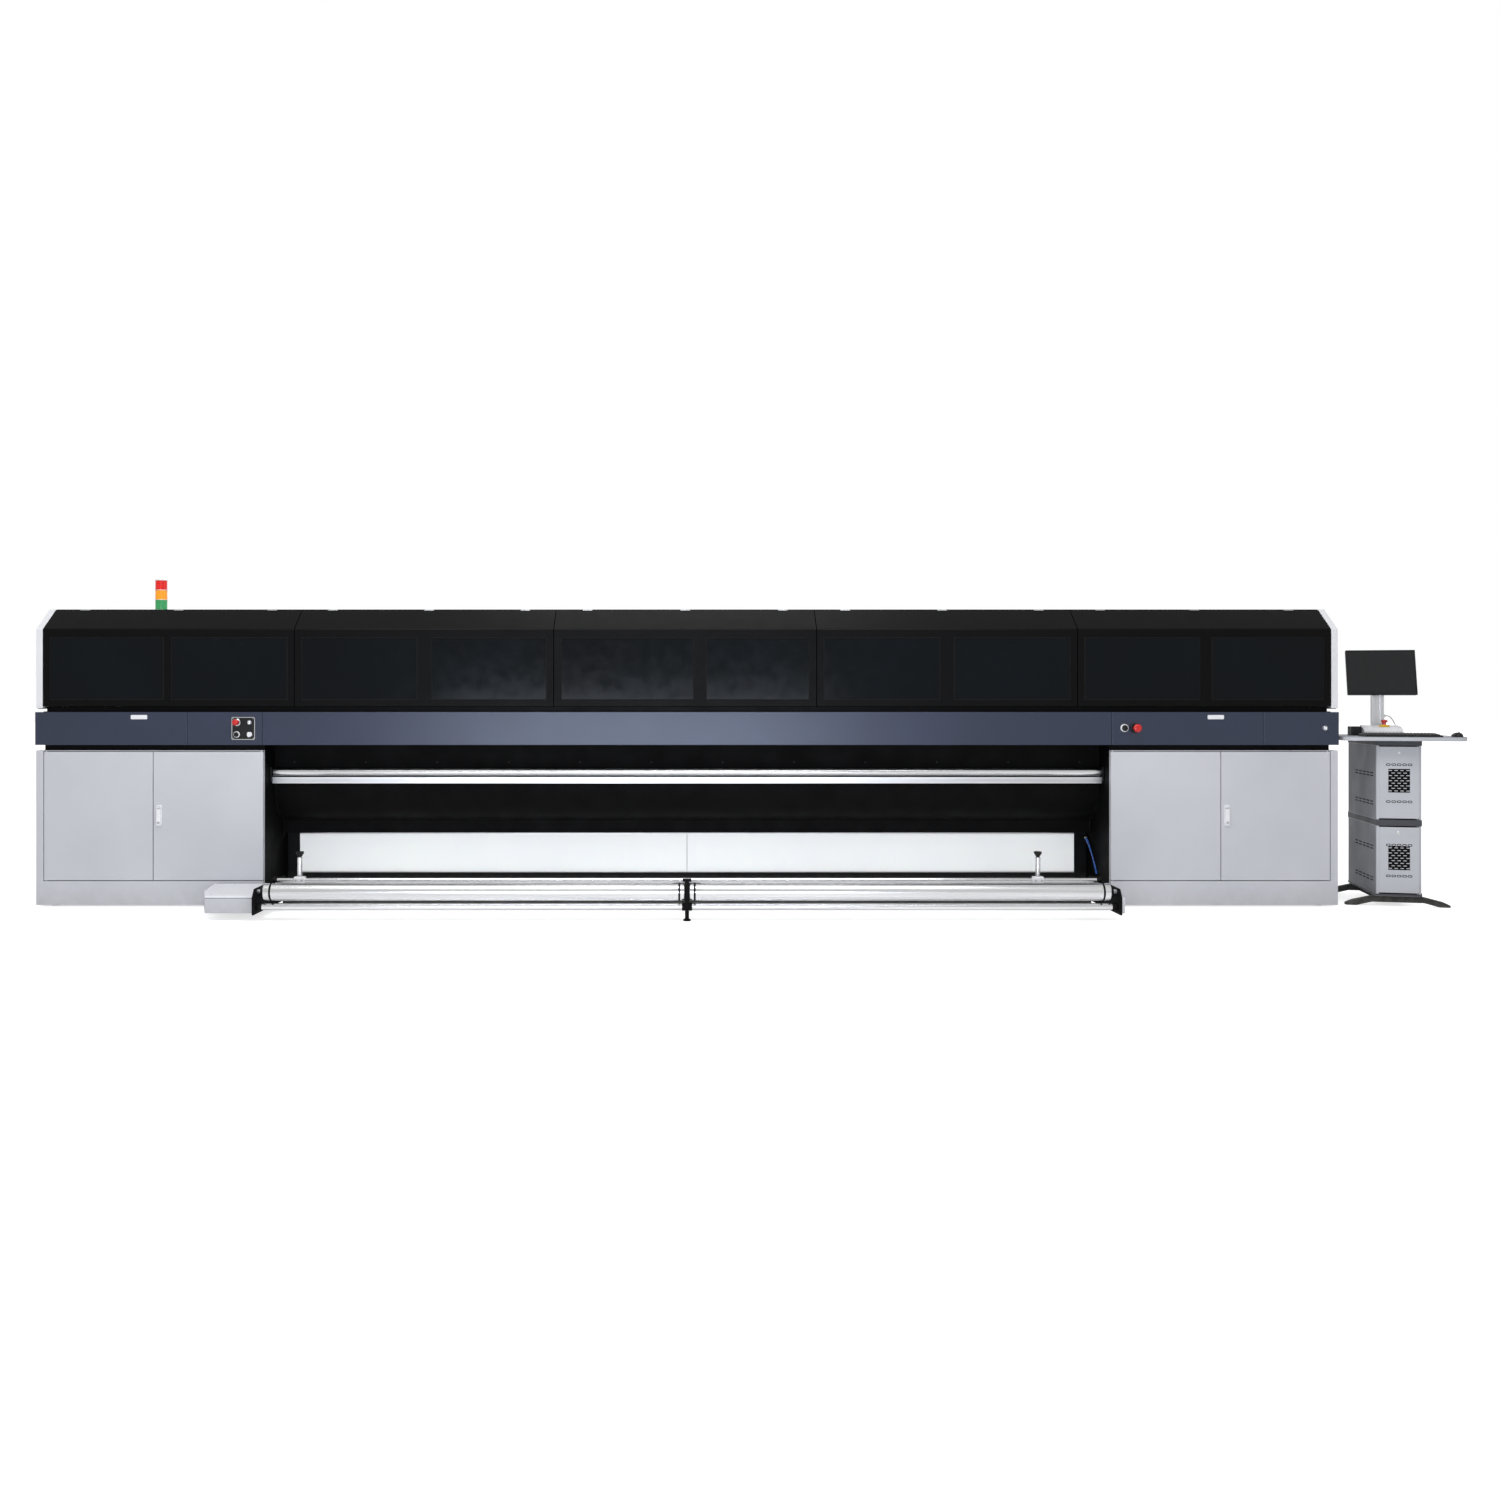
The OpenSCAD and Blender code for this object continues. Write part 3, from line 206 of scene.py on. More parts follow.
paint = {
    "cabinet": powderCoat("satinGreyPowderCoat", "#c9cacf", "#bfc0c6"),
    "endPanel": powderCoat("paleGreyPowderCoat", "#e4e5e8", "#d9dade", dusty=False),
    "cover": powderCoat("whitePowderCoat", "#ecedf1", "#e1e2e7"),
    # Sprayed lacquer: smoother than powder coat, with a clear gloss that picks up soft reflections
    "fascia": surface("blueGreyLacquer", "#22273a", "#1d2232", (0.9, 2), (0.34, 0.42), (0.2, 4), (12 * mm, 2),
                      0.12 * mm,
                      tints=[("Specular Tint", "#a3bdf0")], IOR=1.5, Coat_Weight=1.0, Coat_Roughness=0.3),
    "hood": powderCoat("blackSemiGlossPowderCoat", "#060607", "#040405", (0.38, 0.46), dusty=False, shine=0.11),
    "frame": powderCoat("blackSatinPowderCoat", "#0f1012", "#090a0b", (0.4, 0.55), shine=0.22),
    "dark": powderCoat("mattBlackPowderCoat", "#070708", "#040405", (0.55, 0.7), dusty=False, shine=0.12),
    # Smoked UV-blocking acrylic sheet: too dark to see through, with a cold blue tint and a polished face
    "pane": surface("smokedAcrylic", "#0b1014", "#080b0e", (0.6, 2), (0.10, 0.17), (0.08, 5), IOR=1.49,
                    Specular_IOR_Level=0.13),
    # Opal acrylic over LED strips: milky, evenly lit, with a faint brightness from inside
    "opal": surface("opalAcrylic", "#f2f1ef", "#e9e8e8", (0.5, 2), (0.38, 0.5), (0.1, 3),
                    tints=[("Emission Color", "#fdfdff")],
                    IOR=1.49, Emission_Strength=0.22, Subsurface_Weight=0.15),
    "aluminium": brushedAluminium("anodisedAluminium", "#ececed", "#d6d8db", (0.3, 0.4)),
    "platen": brushedAluminium("groundAluminiumPlate", "#c8cacd", "#a9abb0", (0.3, 0.5)),
    "steel": drawnSteel("polishedDrawnSteel", "#f6f6f7", "#dddee0", (0.16, 0.24)),
    "zinc": drawnSteel("zincPlatedSteel", "#c9cacc", "#9fa1a5", (0.25, 0.4)),
    # Ground nitrile rubber on a roller: matt, dark, with a fine grinding lay round the roller
    "rubber": surface("groundNitrileRubber", "#2c2c2e", "#202022", (0.05, 4), (0.62, 0.78), (0.03, 4),
                      (2 * mm, 2, (1, 20, 20)),
                      0.15 * mm, IOR=1.5),
    "seal": mouldedPlastic("epdmSealRubber", "#0b0b0c", "#070708", (0.6, 0.75), Specular_IOR_Level=0.2),
    "black": mouldedPlastic("blackAbs", "#121315", "#0d0e10", Specular_IOR_Level=0.35),
    "white": mouldedPlastic("whiteAbs", "#ecedef", "#e2e3e6", (0.25, 0.38)),
    "red": mouldedPlastic("redPolycarbonate", "#cf1d1a", "#b81512", (0.2, 0.32), Coat_Weight=0.2),
    "yellow": mouldedPlastic("yellowAbs", "#f2c81c", "#e4b812", (0.3, 0.42)),
    "hose": mouldedPlastic("bluePolyurethaneHose", "#1b58b0", "#154a99", (0.2, 0.32), Transmission_Weight=0.1),
    "redLens": lensPlastic("redLensPlastic", "#d8231f", "#b81a17", "#e0201a"),
    "amberLens": lensPlastic("amberLensPlastic", "#f0a828", "#d98f1c", "#f5a21c"),
    "greenLens": lensPlastic("greenLensPlastic", "#3f9f5f", "#2f8650", "#3fa865"),
    "console": powderCoat("consoleGreyPowderCoat", "#c3c5ca", "#b7b9bf"),
    # A darker copy of the console grey for the side skins: painted shade for the console's dim side faces
    "consoleSidePaintedShade": powderCoat("consoleSidePaintedShadeCoat", "#7b7c84", "#73747c"),
    "charcoal": powderCoat("charcoalPowderCoat", "#45474c", "#3a3c41", (0.4, 0.52), dusty=False),
    # Melamine laminate: a fine two-tone speckle under a satin overlay
    "laminate": surface("speckledLaminate", "#b2b4ba", "#a0a2a9", (4 * mm, 4), (0.4, 0.52), (0.04, 4), (3 * mm, 2),
                        0.08 * mm, 0.3,
                        (0.35, 0.65), IOR=1.5),
    # Switched-off display: a black, lightly frosted panel
    "screen": surface("frostedDisplayGlass", "#0b0c0e", "#101216", (0.15, 2), (0.2, 0.28), (0.05, 3), IOR=1.5),
    "keys": mouldedPlastic("laserMarkedKeyAbs", "#1d1e21", "#161719", (0.42, 0.55)),
}
print("materials made:", len(paint))


# Ties a piece to its body and hides the nodes it stands for
def rideAs(piece, body, standsFor=()):
    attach(piece, body)
    if standsFor:
        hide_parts(*standsFor)
    return piece


# Bevels the sharp edges, marks what stays sharp, and makes one piece that rides on its body
def toObject(name, bm, material, body="root", bevel=0.0, segments=2, standsFor=(), slot=None, axes=printerAxes,
             angle=24):
    bmesh.ops.remove_doubles(bm, verts=bm.verts, dist=0.001)
    bmesh.ops.recalc_face_normals(bm, faces=bm.faces)
    if bevel:
        sharp = [e for e in bm.edges if len(e.link_faces) == 2 and e.calc_face_angle() > math.radians(35)]
        bmesh.ops.bevel(bm, geom=sharp, offset=bevel, segments=segments, profile=0.5, affect="EDGES",
                        clamp_overlap=True)
    for face in bm.faces:
        face.smooth = True
    for edge in bm.edges:
        small, large = sorted([face.calc_area() for face in edge.link_faces] + [0, 0])[-2:]
        bevelled = large > 12 * small  # then the wide face keeps its own normals, so that it reflects flat
        edge.smooth = len(edge.link_faces) == 2 and edge.calc_face_angle() < math.radians(4 if bevelled else angle)
    bm.transform(axes)
    mesh = bpy.data.meshes.new(name)
    bm.to_mesh(mesh)
    bm.free()
    mesh.materials.append(paint[material] if isinstance(material, str) else material)
    piece = newObject(name, mesh)
    return rideAs(piece, body, standsFor)


# Low and high ends of a stretch from a to b, mirrored to the left for side -1
def span(side, a, b):
    return sorted((side * a, side * b))


# Extrudes a closed outline along x, y or z. The outline's pairs are (y, z), (x, z) or (x, y)
def addPrism(bm, outline, axis, start, end):
    order = {"x": lambda a, b, c: (c, a, b), "y": lambda a, b, c: (a, c, b), "z": lambda a, b, c: (a, b, c)}[axis]
    rings = [[bm.verts.new(order(a, b, c)) for a, b in outline] for c in (start, end)]
    count = len(outline)
    bm.faces.new(rings[0])
    bm.faces.new(rings[1][::-1])
    for i in range(count):
        j = (i + 1) % count
        bm.faces.new((rings[0][i], rings[1][i], rings[1][j], rings[0][j]))


def addBox(bm, low, high):
    addPrism(bm, [(low[0], low[1]), (high[0], low[1]), (high[0], high[1]), (low[0], high[1])], "z", low[2], high[2])


# Faces between each ring of vertices and the next
def addSkin(bm, rings):
    for near, far in zip(rings, rings[1:]):
        for k in range(len(near)):
            n = (k + 1) % len(near)
            bm.faces.new((near[k], near[n], far[n], far[k]))


# Rings of vertices from pairs of an (x, z) outline and its y
def addRings(bm, *levels):
    return [[bm.verts.new((a, y, b)) for a, b in outline] for outline, y in levels]


# Turns (distance along the axis, radius) pairs about an axis through centre. A radius of 0 closes the end
def addLathe(bm, centre, axis, profile, steps=40):
    spin = {"x": Matrix.Rotation(math.pi / 2, 3, "Y"), "y": Matrix.Rotation(-math.pi / 2, 3, "X"),
            "z": Matrix.Identity(3)}[axis]
    rings = []
    for along, radius in profile:
        angles = [2 * math.pi * k / steps for k in range(steps)] if radius > 0 else [0]
        spots = [Vector((radius * math.cos(a), radius * math.sin(a), along)) for a in angles]
        rings.append([bm.verts.new(Vector(centre) + spin @ spot) for spot in spots])
    for low, high in zip(rings, rings[1:]):
        for k in range(steps):
            n = (k + 1) % steps
            if len(low) == 1:
                bm.faces.new((low[0], high[n], high[k]))
            elif len(high) == 1:
                bm.faces.new((low[k], low[n], high[0]))
            else:
                bm.faces.new((low[k], low[n], high[n], high[k]))
    for ring, flip in ((rings[0], True), (rings[-1], False)):
        if len(ring) > 1:
            bm.faces.new(ring[::-1] if flip else ring)


def addRod(bm, centre, axis, start, end, radius, chamfer=0.0, steps=40):
    c = min(chamfer, radius * 0.5)
    profile = [(start, radius), (end, radius)]
    if c:
        profile = [(start, radius - c), (start + c, radius), (end - c, radius), (end, radius - c)]
    addLathe(bm, centre, axis, profile, steps)


def roundedOutline(x0, z0, x1, z1, radius, steps=6):
    points = []
    for cx, cz, turn in ((x1 - radius, z1 - radius, 0), (x0 + radius, z1 - radius, 90),
                         (x0 + radius, z0 + radius, 180), (x1 - radius, z0 + radius, 270)):
        for k in range(steps + 1):
            a = math.radians(turn + 90 * k / steps)
            points.append((cx + radius * math.cos(a), cz + radius * math.sin(a)))
    return points


# A plate from y0 to y1 on the grid lines xs and zs, open in the cells that holes lists
def addFrame(bm, xs, zs, holes, y0, y1):
    corner = {}

    def vertex(i, k, y):
        key = (i, k, y)
        if key not in corner:
            corner[key] = bm.verts.new((xs[i], y, zs[k]))
        return corner[key]

    solid = {(i, k) for i in range(len(xs) - 1) for k in range(len(zs) - 1)} - set(holes)
    for i, k in solid:
        for y in (y0, y1):
            ring = [vertex(i, k, y), vertex(i + 1, k, y), vertex(i + 1, k + 1, y), vertex(i, k + 1, y)]
            bm.faces.new(ring if y == y0 else ring[::-1])
        for near, a, b in (((i - 1, k), (i, k), (i, k + 1)), ((i + 1, k), (i + 1, k), (i + 1, k + 1)),
                           ((i, k - 1), (i, k), (i + 1, k)), ((i, k + 1), (i, k + 1), (i + 1, k + 1))):
            if near not in solid:
                bm.faces.new((vertex(*a, y0), vertex(*b, y0), vertex(*b, y1), vertex(*a, y1)))


# A round tube along points, with flat ends
def addTube(bm, points, radius, steps=12):
    points = [Vector(p) for p in points]
    last = len(points) - 1
    rings, side = [], None
    for i, point in enumerate(points):
        ahead = (points[min(i + 1, last)] - points[max(i - 1, 0)]).normalized()
        if side is None:
            side = ahead.cross(Vector((0, 0, 1)) if abs(ahead.z) < 0.9 else Vector((1, 0, 0))).normalized()
        side = (side - ahead * side.dot(ahead)).normalized()
        other = ahead.cross(side)
        turns = [2 * math.pi * k / steps for k in range(steps)]
        rings.append([bm.verts.new(point + radius * (math.cos(a) * side + math.sin(a) * other)) for a in turns])
    addSkin(bm, rings)
    bm.faces.new(rings[0][::-1])
    bm.faces.new(rings[-1])


# Gives a CAD node that stays its finish
def finishNode(name, material):
    node = frame["nodes"][name]
    node.data.materials.clear()
    node.data.materials.append(paint[material])


# A grid of one item, in columns and rows from a first point. makeItem(tree, group) returns the item's geometry
def gridTree(name, makeItem):
    tree = bpy.data.node_groups.new(name, "GeometryNodeTree")
    for label, kind, default in (("Columns", "Int", 1), ("Rows", "Int", 1), ("Start", "Vector", (0, 0, 0)),
                                 ("ColumnStep", "Vector", (0.1, 0, 0)), ("RowStep", "Vector", (0, 0, 0.1)),
                                 ("Turn", "Vector", (0, 0, 0)), ("Width", "Float", 0.01), ("Height", "Float", 0.01),
                                 ("Depth", "Float", 0.002), ("Finish", "Material", None)):
        socket = tree.interface.new_socket(label, in_out="INPUT", socket_type="NodeSocket" + kind)
        if default is not None:
            socket.default_value = default
    tree.interface.new_socket("Geometry", in_out="OUTPUT", socket_type="NodeSocketGeometry")
    group = addNode(tree, "NodeGroupInput").outputs
    row = addNode(tree, "GeometryNodeMeshLine", {"Count": group["Columns"], "Start Location": group["Start"],
                                                 "Offset": group["ColumnStep"]})
    column = addNode(tree, "GeometryNodeMeshLine", {"Count": group["Rows"], "Offset": group["RowStep"]})
    grid = addNode(tree, "GeometryNodeInstanceOnPoints", {"Points": column.outputs[0], "Instance": row.outputs[0]})
    points = addNode(tree, "GeometryNodeRealizeInstances", {"Geometry": grid.outputs[0]})
    items = addNode(tree, "GeometryNodeInstanceOnPoints", {"Points": points.outputs[0],
                                                           "Instance": makeItem(tree, group),
                                                           "Rotation": group["Turn"]})
    solid = addNode(tree, "GeometryNodeRealizeInstances", {"Geometry": items.outputs[0]})
    finished = addNode(tree, "GeometryNodeSetMaterial", {"Geometry": solid.outputs[0], "Material": group["Finish"]})
    addNode(tree, "NodeGroupOutput", {"Geometry": finished.outputs[0]})
    return tree


# Cap screw: a washer and a head, standing along Z
def screwItem(tree, group):
    washer = addNode(tree, "GeometryNodeMeshCylinder", {"Vertices": 16, "Radius": group["Width"],
                                                        "Depth": group["Depth"]})
    half = addNode(tree, "ShaderNodeMath", {0: group["Width"], 1: 0.68}, operation="MULTIPLY").outputs[0]
    tall = addNode(tree, "ShaderNodeMath", {0: group["Depth"], 1: 3.0}, operation="MULTIPLY").outputs[0]
    head = addNode(tree, "GeometryNodeMeshCylinder", {"Vertices": 12, "Radius": half, "Depth": tall})
    join = addNode(tree, "GeometryNodeJoinGeometry", {"Geometry": washer.outputs[0]})
    tree.links.new(head.outputs[0], join.inputs[0])
    return join.outputs[0]


# Plain bar, for louvres and ribs
def barItem(tree, group):
    size = addNode(tree, "ShaderNodeCombineXYZ", {"X": group["Width"], "Y": group["Depth"],
                                                  "Z": group["Height"]}).outputs[0]
    return addNode(tree, "GeometryNodeMeshCube", {"Size": size}).outputs[0]


# Keycap: a four-sided frustum with its flats along X and Y
def keyItem(tree, group):
    wide = addNode(tree, "ShaderNodeMath", {0: group["Width"], 1: 0.7071}, operation="MULTIPLY").outputs[0]
    narrow = addNode(tree, "ShaderNodeMath", {0: group["Width"], 1: 0.56}, operation="MULTIPLY").outputs[0]
    cone = addNode(tree, "GeometryNodeMeshCone", {"Vertices": 4, "Radius Top": narrow, "Radius Bottom": wide,
                                                  "Depth": group["Depth"]})
    return addNode(tree, "GeometryNodeTransform", {"Geometry": cone.outputs[0],
                                                   "Rotation": (0, 0, math.radians(45))}).outputs[0]


trees = {kind: gridTree(kind + "Grid", item)
         for kind, item in (("screw", screwItem), ("bar", barItem), ("key", keyItem))}


# Runs a grid tree in millimetres, and keeps its result as a plain mesh in the frame
def repeated(name, kind, material, body="root", axes=printerAxes, slot=None, **values):
    host = newObject(name + "Host", bpy.data.meshes.new(name + "Host"))
    modifier = host.modifiers.new("grid", "NODES")
    modifier.node_group = trees[kind]
    values["Finish"] = paint[material]
    for item in trees[kind].interface.items_tree:
        if item.in_out == "INPUT" and item.name in values:
            modifier[item.identifier] = values[item.name]
    graph = bpy.context.evaluated_depsgraph_get()
    mesh = bpy.data.meshes.new_from_object(host.evaluated_get(graph))
    bpy.data.objects.remove(host)
    mesh.transform(axes)
    mesh.name = name
    piece = newObject(name, mesh)
    return rideAs(piece, body)


# A row or grid of cap screws whose heads face along x, y or z
def screws(name, start, count, step, facing, rows=1, rowStep=(0, 0, 100), radius=5, material="zinc", body="root",
           axes=printerAxes):
    turn = {"x": (0, math.pi / 2, 0), "y": (math.pi / 2, 0, 0), "z": (0, 0, 0)}[facing]
    return repeated(name, "screw", material, body, axes, Columns=count, Rows=rows, Start=start, Turn=turn,
                    Width=radius, Depth=1.6, ColumnStep=step, RowStep=rowStep)


# Camera, light and floor
view = {"distance": 8000, "height": 1300, "focal": 30.67, "shiftX": 0.042, "shiftY": -0.034}
cameraData = bpy.data.cameras.new("camera")
cameraData.lens = view["focal"]
cameraData.sensor_width = 36
cameraData.shift_x = view["shiftX"]
cameraData.shift_y = view["shiftY"]
cameraData.clip_end = 200
camera = newObject("camera", cameraData)
camera.location = printerAxes @ Vector((0, -view["distance"], view["height"]))
camera.rotation_euler = (math.radians(90), 0, 0)
bpy.context.scene.camera = camera


def softBox(name, at, towards, size, power, colour="#ffffff"):
    data = bpy.data.lights.new(name, "AREA")
    data.shape = "RECTANGLE"
    data.size, data.size_y = size
    data.energy = power
    data.color = linear(colour)[:3]
    lamp = newObject(name, data)
    lamp.location = printerAxes @ Vector(at)
    lamp.rotation_euler = (printerAxes @ Vector(towards) - lamp.location).to_track_quat("-Z", "Y").to_euler()
    lamp.visible_camera = False


softBox("overheadBank", (-400, -2600, 5400), (-300, 0, 600), (6.2, 2.2), 220)
softBox("roofGlow", (0, 1500, 5600), (0, 200, 1800), (3.5, 1.6), 26)
softBox("centreKey", (-700, -9600, 760), (-500, 0, 1000), (5.2, 0.8), 185, "#dfe6f4")
softBox("rearFill", (0, 7500, 4200), (0, 1400, 900), (9, 2.6), 130)
softBox("rightFill", (9000, -1500, 3200), (4200, 500, 900), (3, 3), 8)
softBox("leftFill", (-9000, -1500, 3200), (-4000, 500, 900), (3, 3), 6)

# The backdrop is white to the eye, and lights the printer more softly than it looks
world = bpy.data.worlds.new("studio")
world.use_nodes = True
sky = world.node_tree
seen = addNode(sky, "ShaderNodeLightPath").outputs["Is Camera Ray"]
glow = addNode(sky, "ShaderNodeMapRange", {"Value": seen, "To Min": 0.6, "To Max": 1.0}).outputs["Result"]
sky.nodes["Background"].inputs["Color"].default_value = linear("#ffffff")
sky.links.new(glow, sky.nodes["Background"].inputs["Strength"])
bpy.context.scene.world = world
bpy.context.scene.view_settings.view_transform = "Standard"

floorMesh = bpy.data.meshes.new("studioFloor")
reach = 60
floorMesh.from_pydata([(-reach, -reach, 0), (reach, -reach, 0), (reach, reach, 0), (-reach, reach, 0)], [],
                      [(0, 1, 2, 3)])
floor = newObject("studioFloor", floorMesh)
floorPaint, floorTree, floorShader, _ = startMaterial("whiteStudioFloor", Roughness=0.24, IOR=1.3)
floorShader.inputs["Base Color"].default_value = linear("#f4f4f5")
floorShader.inputs["Emission Color"].default_value = linear("#ffffff")
# The floor fades into the backdrop for the camera only, and keeps its soft shadows
floorSeen = addNode(floorTree, "ShaderNodeLightPath").outputs["Is Camera Ray"]
floorGlow = addNode(floorTree, "ShaderNodeMapRange", {"Value": floorSeen, "To Min": 0.0,
                                                      "To Max": 0.66}).outputs["Result"]
floorTree.links.new(floorGlow, floorShader.inputs["Emission Strength"])
floorMesh.materials.append(floorPaint)
print("camera, light and floor placed")


def box(low, high):
    bm = bmesh.new()
    addBox(bm, low, high)
    return bm


def boxes(*pairs):
    bm = bmesh.new()
    for low, high in pairs:
        addBox(bm, low, high)
    return bm


# A folded tray open towards +Y: its front skin, its four sides and a rim of their width
def addTray(bm, low, high, rim, skin):
    x = (low[0], low[0] + rim, high[0] - rim, high[0])
    z = (low[2], low[2] + rim, high[2] - rim, high[2])
    addFrame(bm, x, z, [(1, 1)], low[1] + skin, high[1])
    addBox(bm, low, (high[0], low[1] + skin + 0.01, high[2]))


# Closed outline of a folded sheet: points run along its outer face, and it lies to the left of them
def foldedSheet(points, thickness, bend, steps=6):
    path = [Vector(points[0])]
    for before, corner, after in zip(points, points[1:], points[2:]):
        before, corner, after = Vector(before), Vector(corner), Vector(after)
        start = corner + (before - corner).normalized() * bend
        end = corner + (after - corner).normalized() * bend
        for k in range(steps + 1):
            t = k / steps
            path.append(start * (1 - t) ** 2 + corner * 2 * t * (1 - t) + end * t ** 2)
    path.append(Vector(points[-1]))
    inner = []
    for i, point in enumerate(path):
        along = (path[min(i + 1, len(path) - 1)] - path[max(i - 1, 0)]).normalized()
        inner.append(point + Vector((-along.y, along.x)) * thickness)
    return [tuple(p) for p in path + inner[::-1]]


# Keyboard lead
lead = {"radius": 2, "tableTop": cad("keyboard_and_mouse")[0].z, "route": [
    (172, 411, 125), (182, 411, 125), (192, 410, 123), (201, 407, 117), (209, 403, 107), (216, 398, 94), (222, 391, 78),
    (227, 383, 60), (231, 374, 42), (235, 363, 26), (238, 350, 13), (240, 335, 5), (241, 318, 2.2), (241, 300, 2.2),
    (240, 270, 2.2), (238, 240, 2.2), (235, 210, 2.2), (231, 180, 2.2), (226, 150, 2.2), (221, 120, 2.6), (217, 95, 4),
    (215, 75, 6), (214, 58, 6)]}
leadPoints = [Vector((u, v, z + lead["tableTop"])) for u, v, z in lead["route"]]


# A smooth curve through the points
def roundedRoute(points, steps=4):
    route = []
    for i in range(len(points) - 1):
        a, b, c, d = points[max(i - 1, 0)], points[i], points[i + 1], points[min(i + 2, len(points) - 1)]
        for k in range(steps):
            t = k / steps
            bend, twist = 2 * a - 5 * b + 4 * c - d, 3 * b - a - 3 * c + d
            route.append(0.5 * (2 * b + (c - a) * t + bend * t ** 2 + twist * t ** 3))
    return route + [points[-1]]


leadRoute = roundedRoute(leadPoints)
bm = bmesh.new()
addTube(bm, leadRoute, lead["radius"], 12)
keyboardLead = toObject("keyboardLead", bm, "black", standsFor=["keyboard_lead"], slot="lead_black",
                        axes=consoleAxes)


# Cabinets
cabinet = {"doorEdge": 2.5, "doorRim": 22, "skin": 2, "pinRadius": 4, "liner": 0.8, "strip": 2, "capInset": 40}
rightLow, rightHigh = cad("right_cabinet")
halfAperture, halfBody = rightLow.x, rightHigh.x
bodyDepth, capTop = rightHigh.y, rightHigh.z
cabinetTop = cad("right_outer_door")[1].z

for side in ("left", "right"):
    finishNode(side + "_cabinet", "cabinet")

# Dark strips round the recessed caps under the beam, and black liners on the walls that face the media path
strips, liners = bmesh.new(), bmesh.new()
for side in (-1, 1):
    a, b = halfAperture, halfBody - cabinet["capInset"]
    y0, y1, t = cabinet["capInset"], bodyDepth - cabinet["capInset"], cabinet["strip"]
    ring = [(a, y0 - t), (b + t, y0 - t), (b + t, y1 + t), (a, y1 + t), (a, y1), (b, y1), (b, y0), (a, y0)]
    addPrism(strips, [(side * x, y) for x, y in ring], "z", cabinetTop, capTop)
    x0, x1 = span(side, halfAperture, halfAperture - cabinet["liner"])
    addBox(liners, (x0, 36, 64), (x1, bodyDepth, capTop))
toObject("recessStrips", strips, "dark", bevel=0.4)
toObject("mediaPathLiners", liners, "dark", bevel=0.2, segments=1)


# A folded door with its stiffener and hinge pins
def door(name):
    low, high = cad(name)
    z0, z1 = low.z + 7.5, high.z - 8  # the pins stand out above and below
    bm = bmesh.new()
    addTray(bm, (low.x, 0, z0), (high.x, 20, z1), cabinet["doorRim"], cabinet["skin"])
    wide = (low.x + high.x) / 2
    addPrism(bm, [(wide - 60, cabinet["skin"]), (wide - 60, 4), (wide - 32, 4), (wide - 28, 16), (wide + 28, 16),
                  (wide + 32, 4), (wide + 60, 4), (wide + 60, cabinet["skin"])], "z", z0 + 24, z1 - 24)
    piece = toObject(name.replace("_", " ").title().replace(" ", "") + "Panel", bm, "cabinet", name,
                     cabinet["doorEdge"], 2, [name], "cabinet_enamel")
    hinge = printerAxes.inverted() @ Vector(joints[name + "_hinge"]["pos_m"])
    pins = bmesh.new()
    for start, end in ((z0 - 7.5, z0 + 2), (z1 - 2, z1 + 8)):
        addRod(pins, (hinge.x, hinge.y, 0), "z", start, end, cabinet["pinRadius"], 0.6, 20)
    toObject(piece.name + "Pins", pins, "zinc", name)


# The oval pocket round a door handle, with a rolled rim
def handleBezel(name, doorBody):
    low, high = cad(name)
    mid, z0, z1 = (low.x + high.x) / 2, low.z - 5.5, high.z + 19.5
    outer = roundedOutline(mid - 17, z0, mid + 17, z1, 8)
    inner = roundedOutline(mid - 13, z0 + 5, mid + 13, z1 - 5, 5)
    bm = bmesh.new()
    rings = addRings(bm, (outer, 0.2), (outer, -6), (inner, -7.6), (inner, -3))
    addSkin(bm, rings)
    bm.faces.new(rings[-1])
    bm.faces.new(rings[0][::-1])
    toObject(name.replace("_h", "H") + "Bezel", bm, "white", doorBody, 0.8, 2)


# A flush grip that hinges out at its top
def doorHandle(name):
    low, high = cad(name)
    mid = (low.x + high.x) / 2
    bm = bmesh.new()
    addPrism(bm, roundedOutline(mid - 12.5, low.z, mid + 12.5, low.z + 101, 5), "y", -14, -3.5)
    toObject(name.replace("_h", "H"), bm, "white", name, 2.2, 3, [name], "handle_white")
    grip = bmesh.new()
    addPrism(grip, [(-13.6, low.z + 8), (-14.4, low.z + 10), (-14.4, low.z + 22), (-13.6, low.z + 24)], "x",
             mid - 8, mid + 8)
    addRod(grip, (0, -5.5, high.z), "x", mid - 15, mid + 15, 1.5, 0, 16)
    toObject(name.replace("_h", "H") + "Pin", grip, "zinc", name)


for name in ("left_outer_door", "left_inner_door", "right_inner_door", "right_outer_door"):
    door(name)
for name, body in (("left_handle", "left_inner_door"), ("right_handle", "right_outer_door")):
    doorHandle(name)
    handleBezel(name, body)

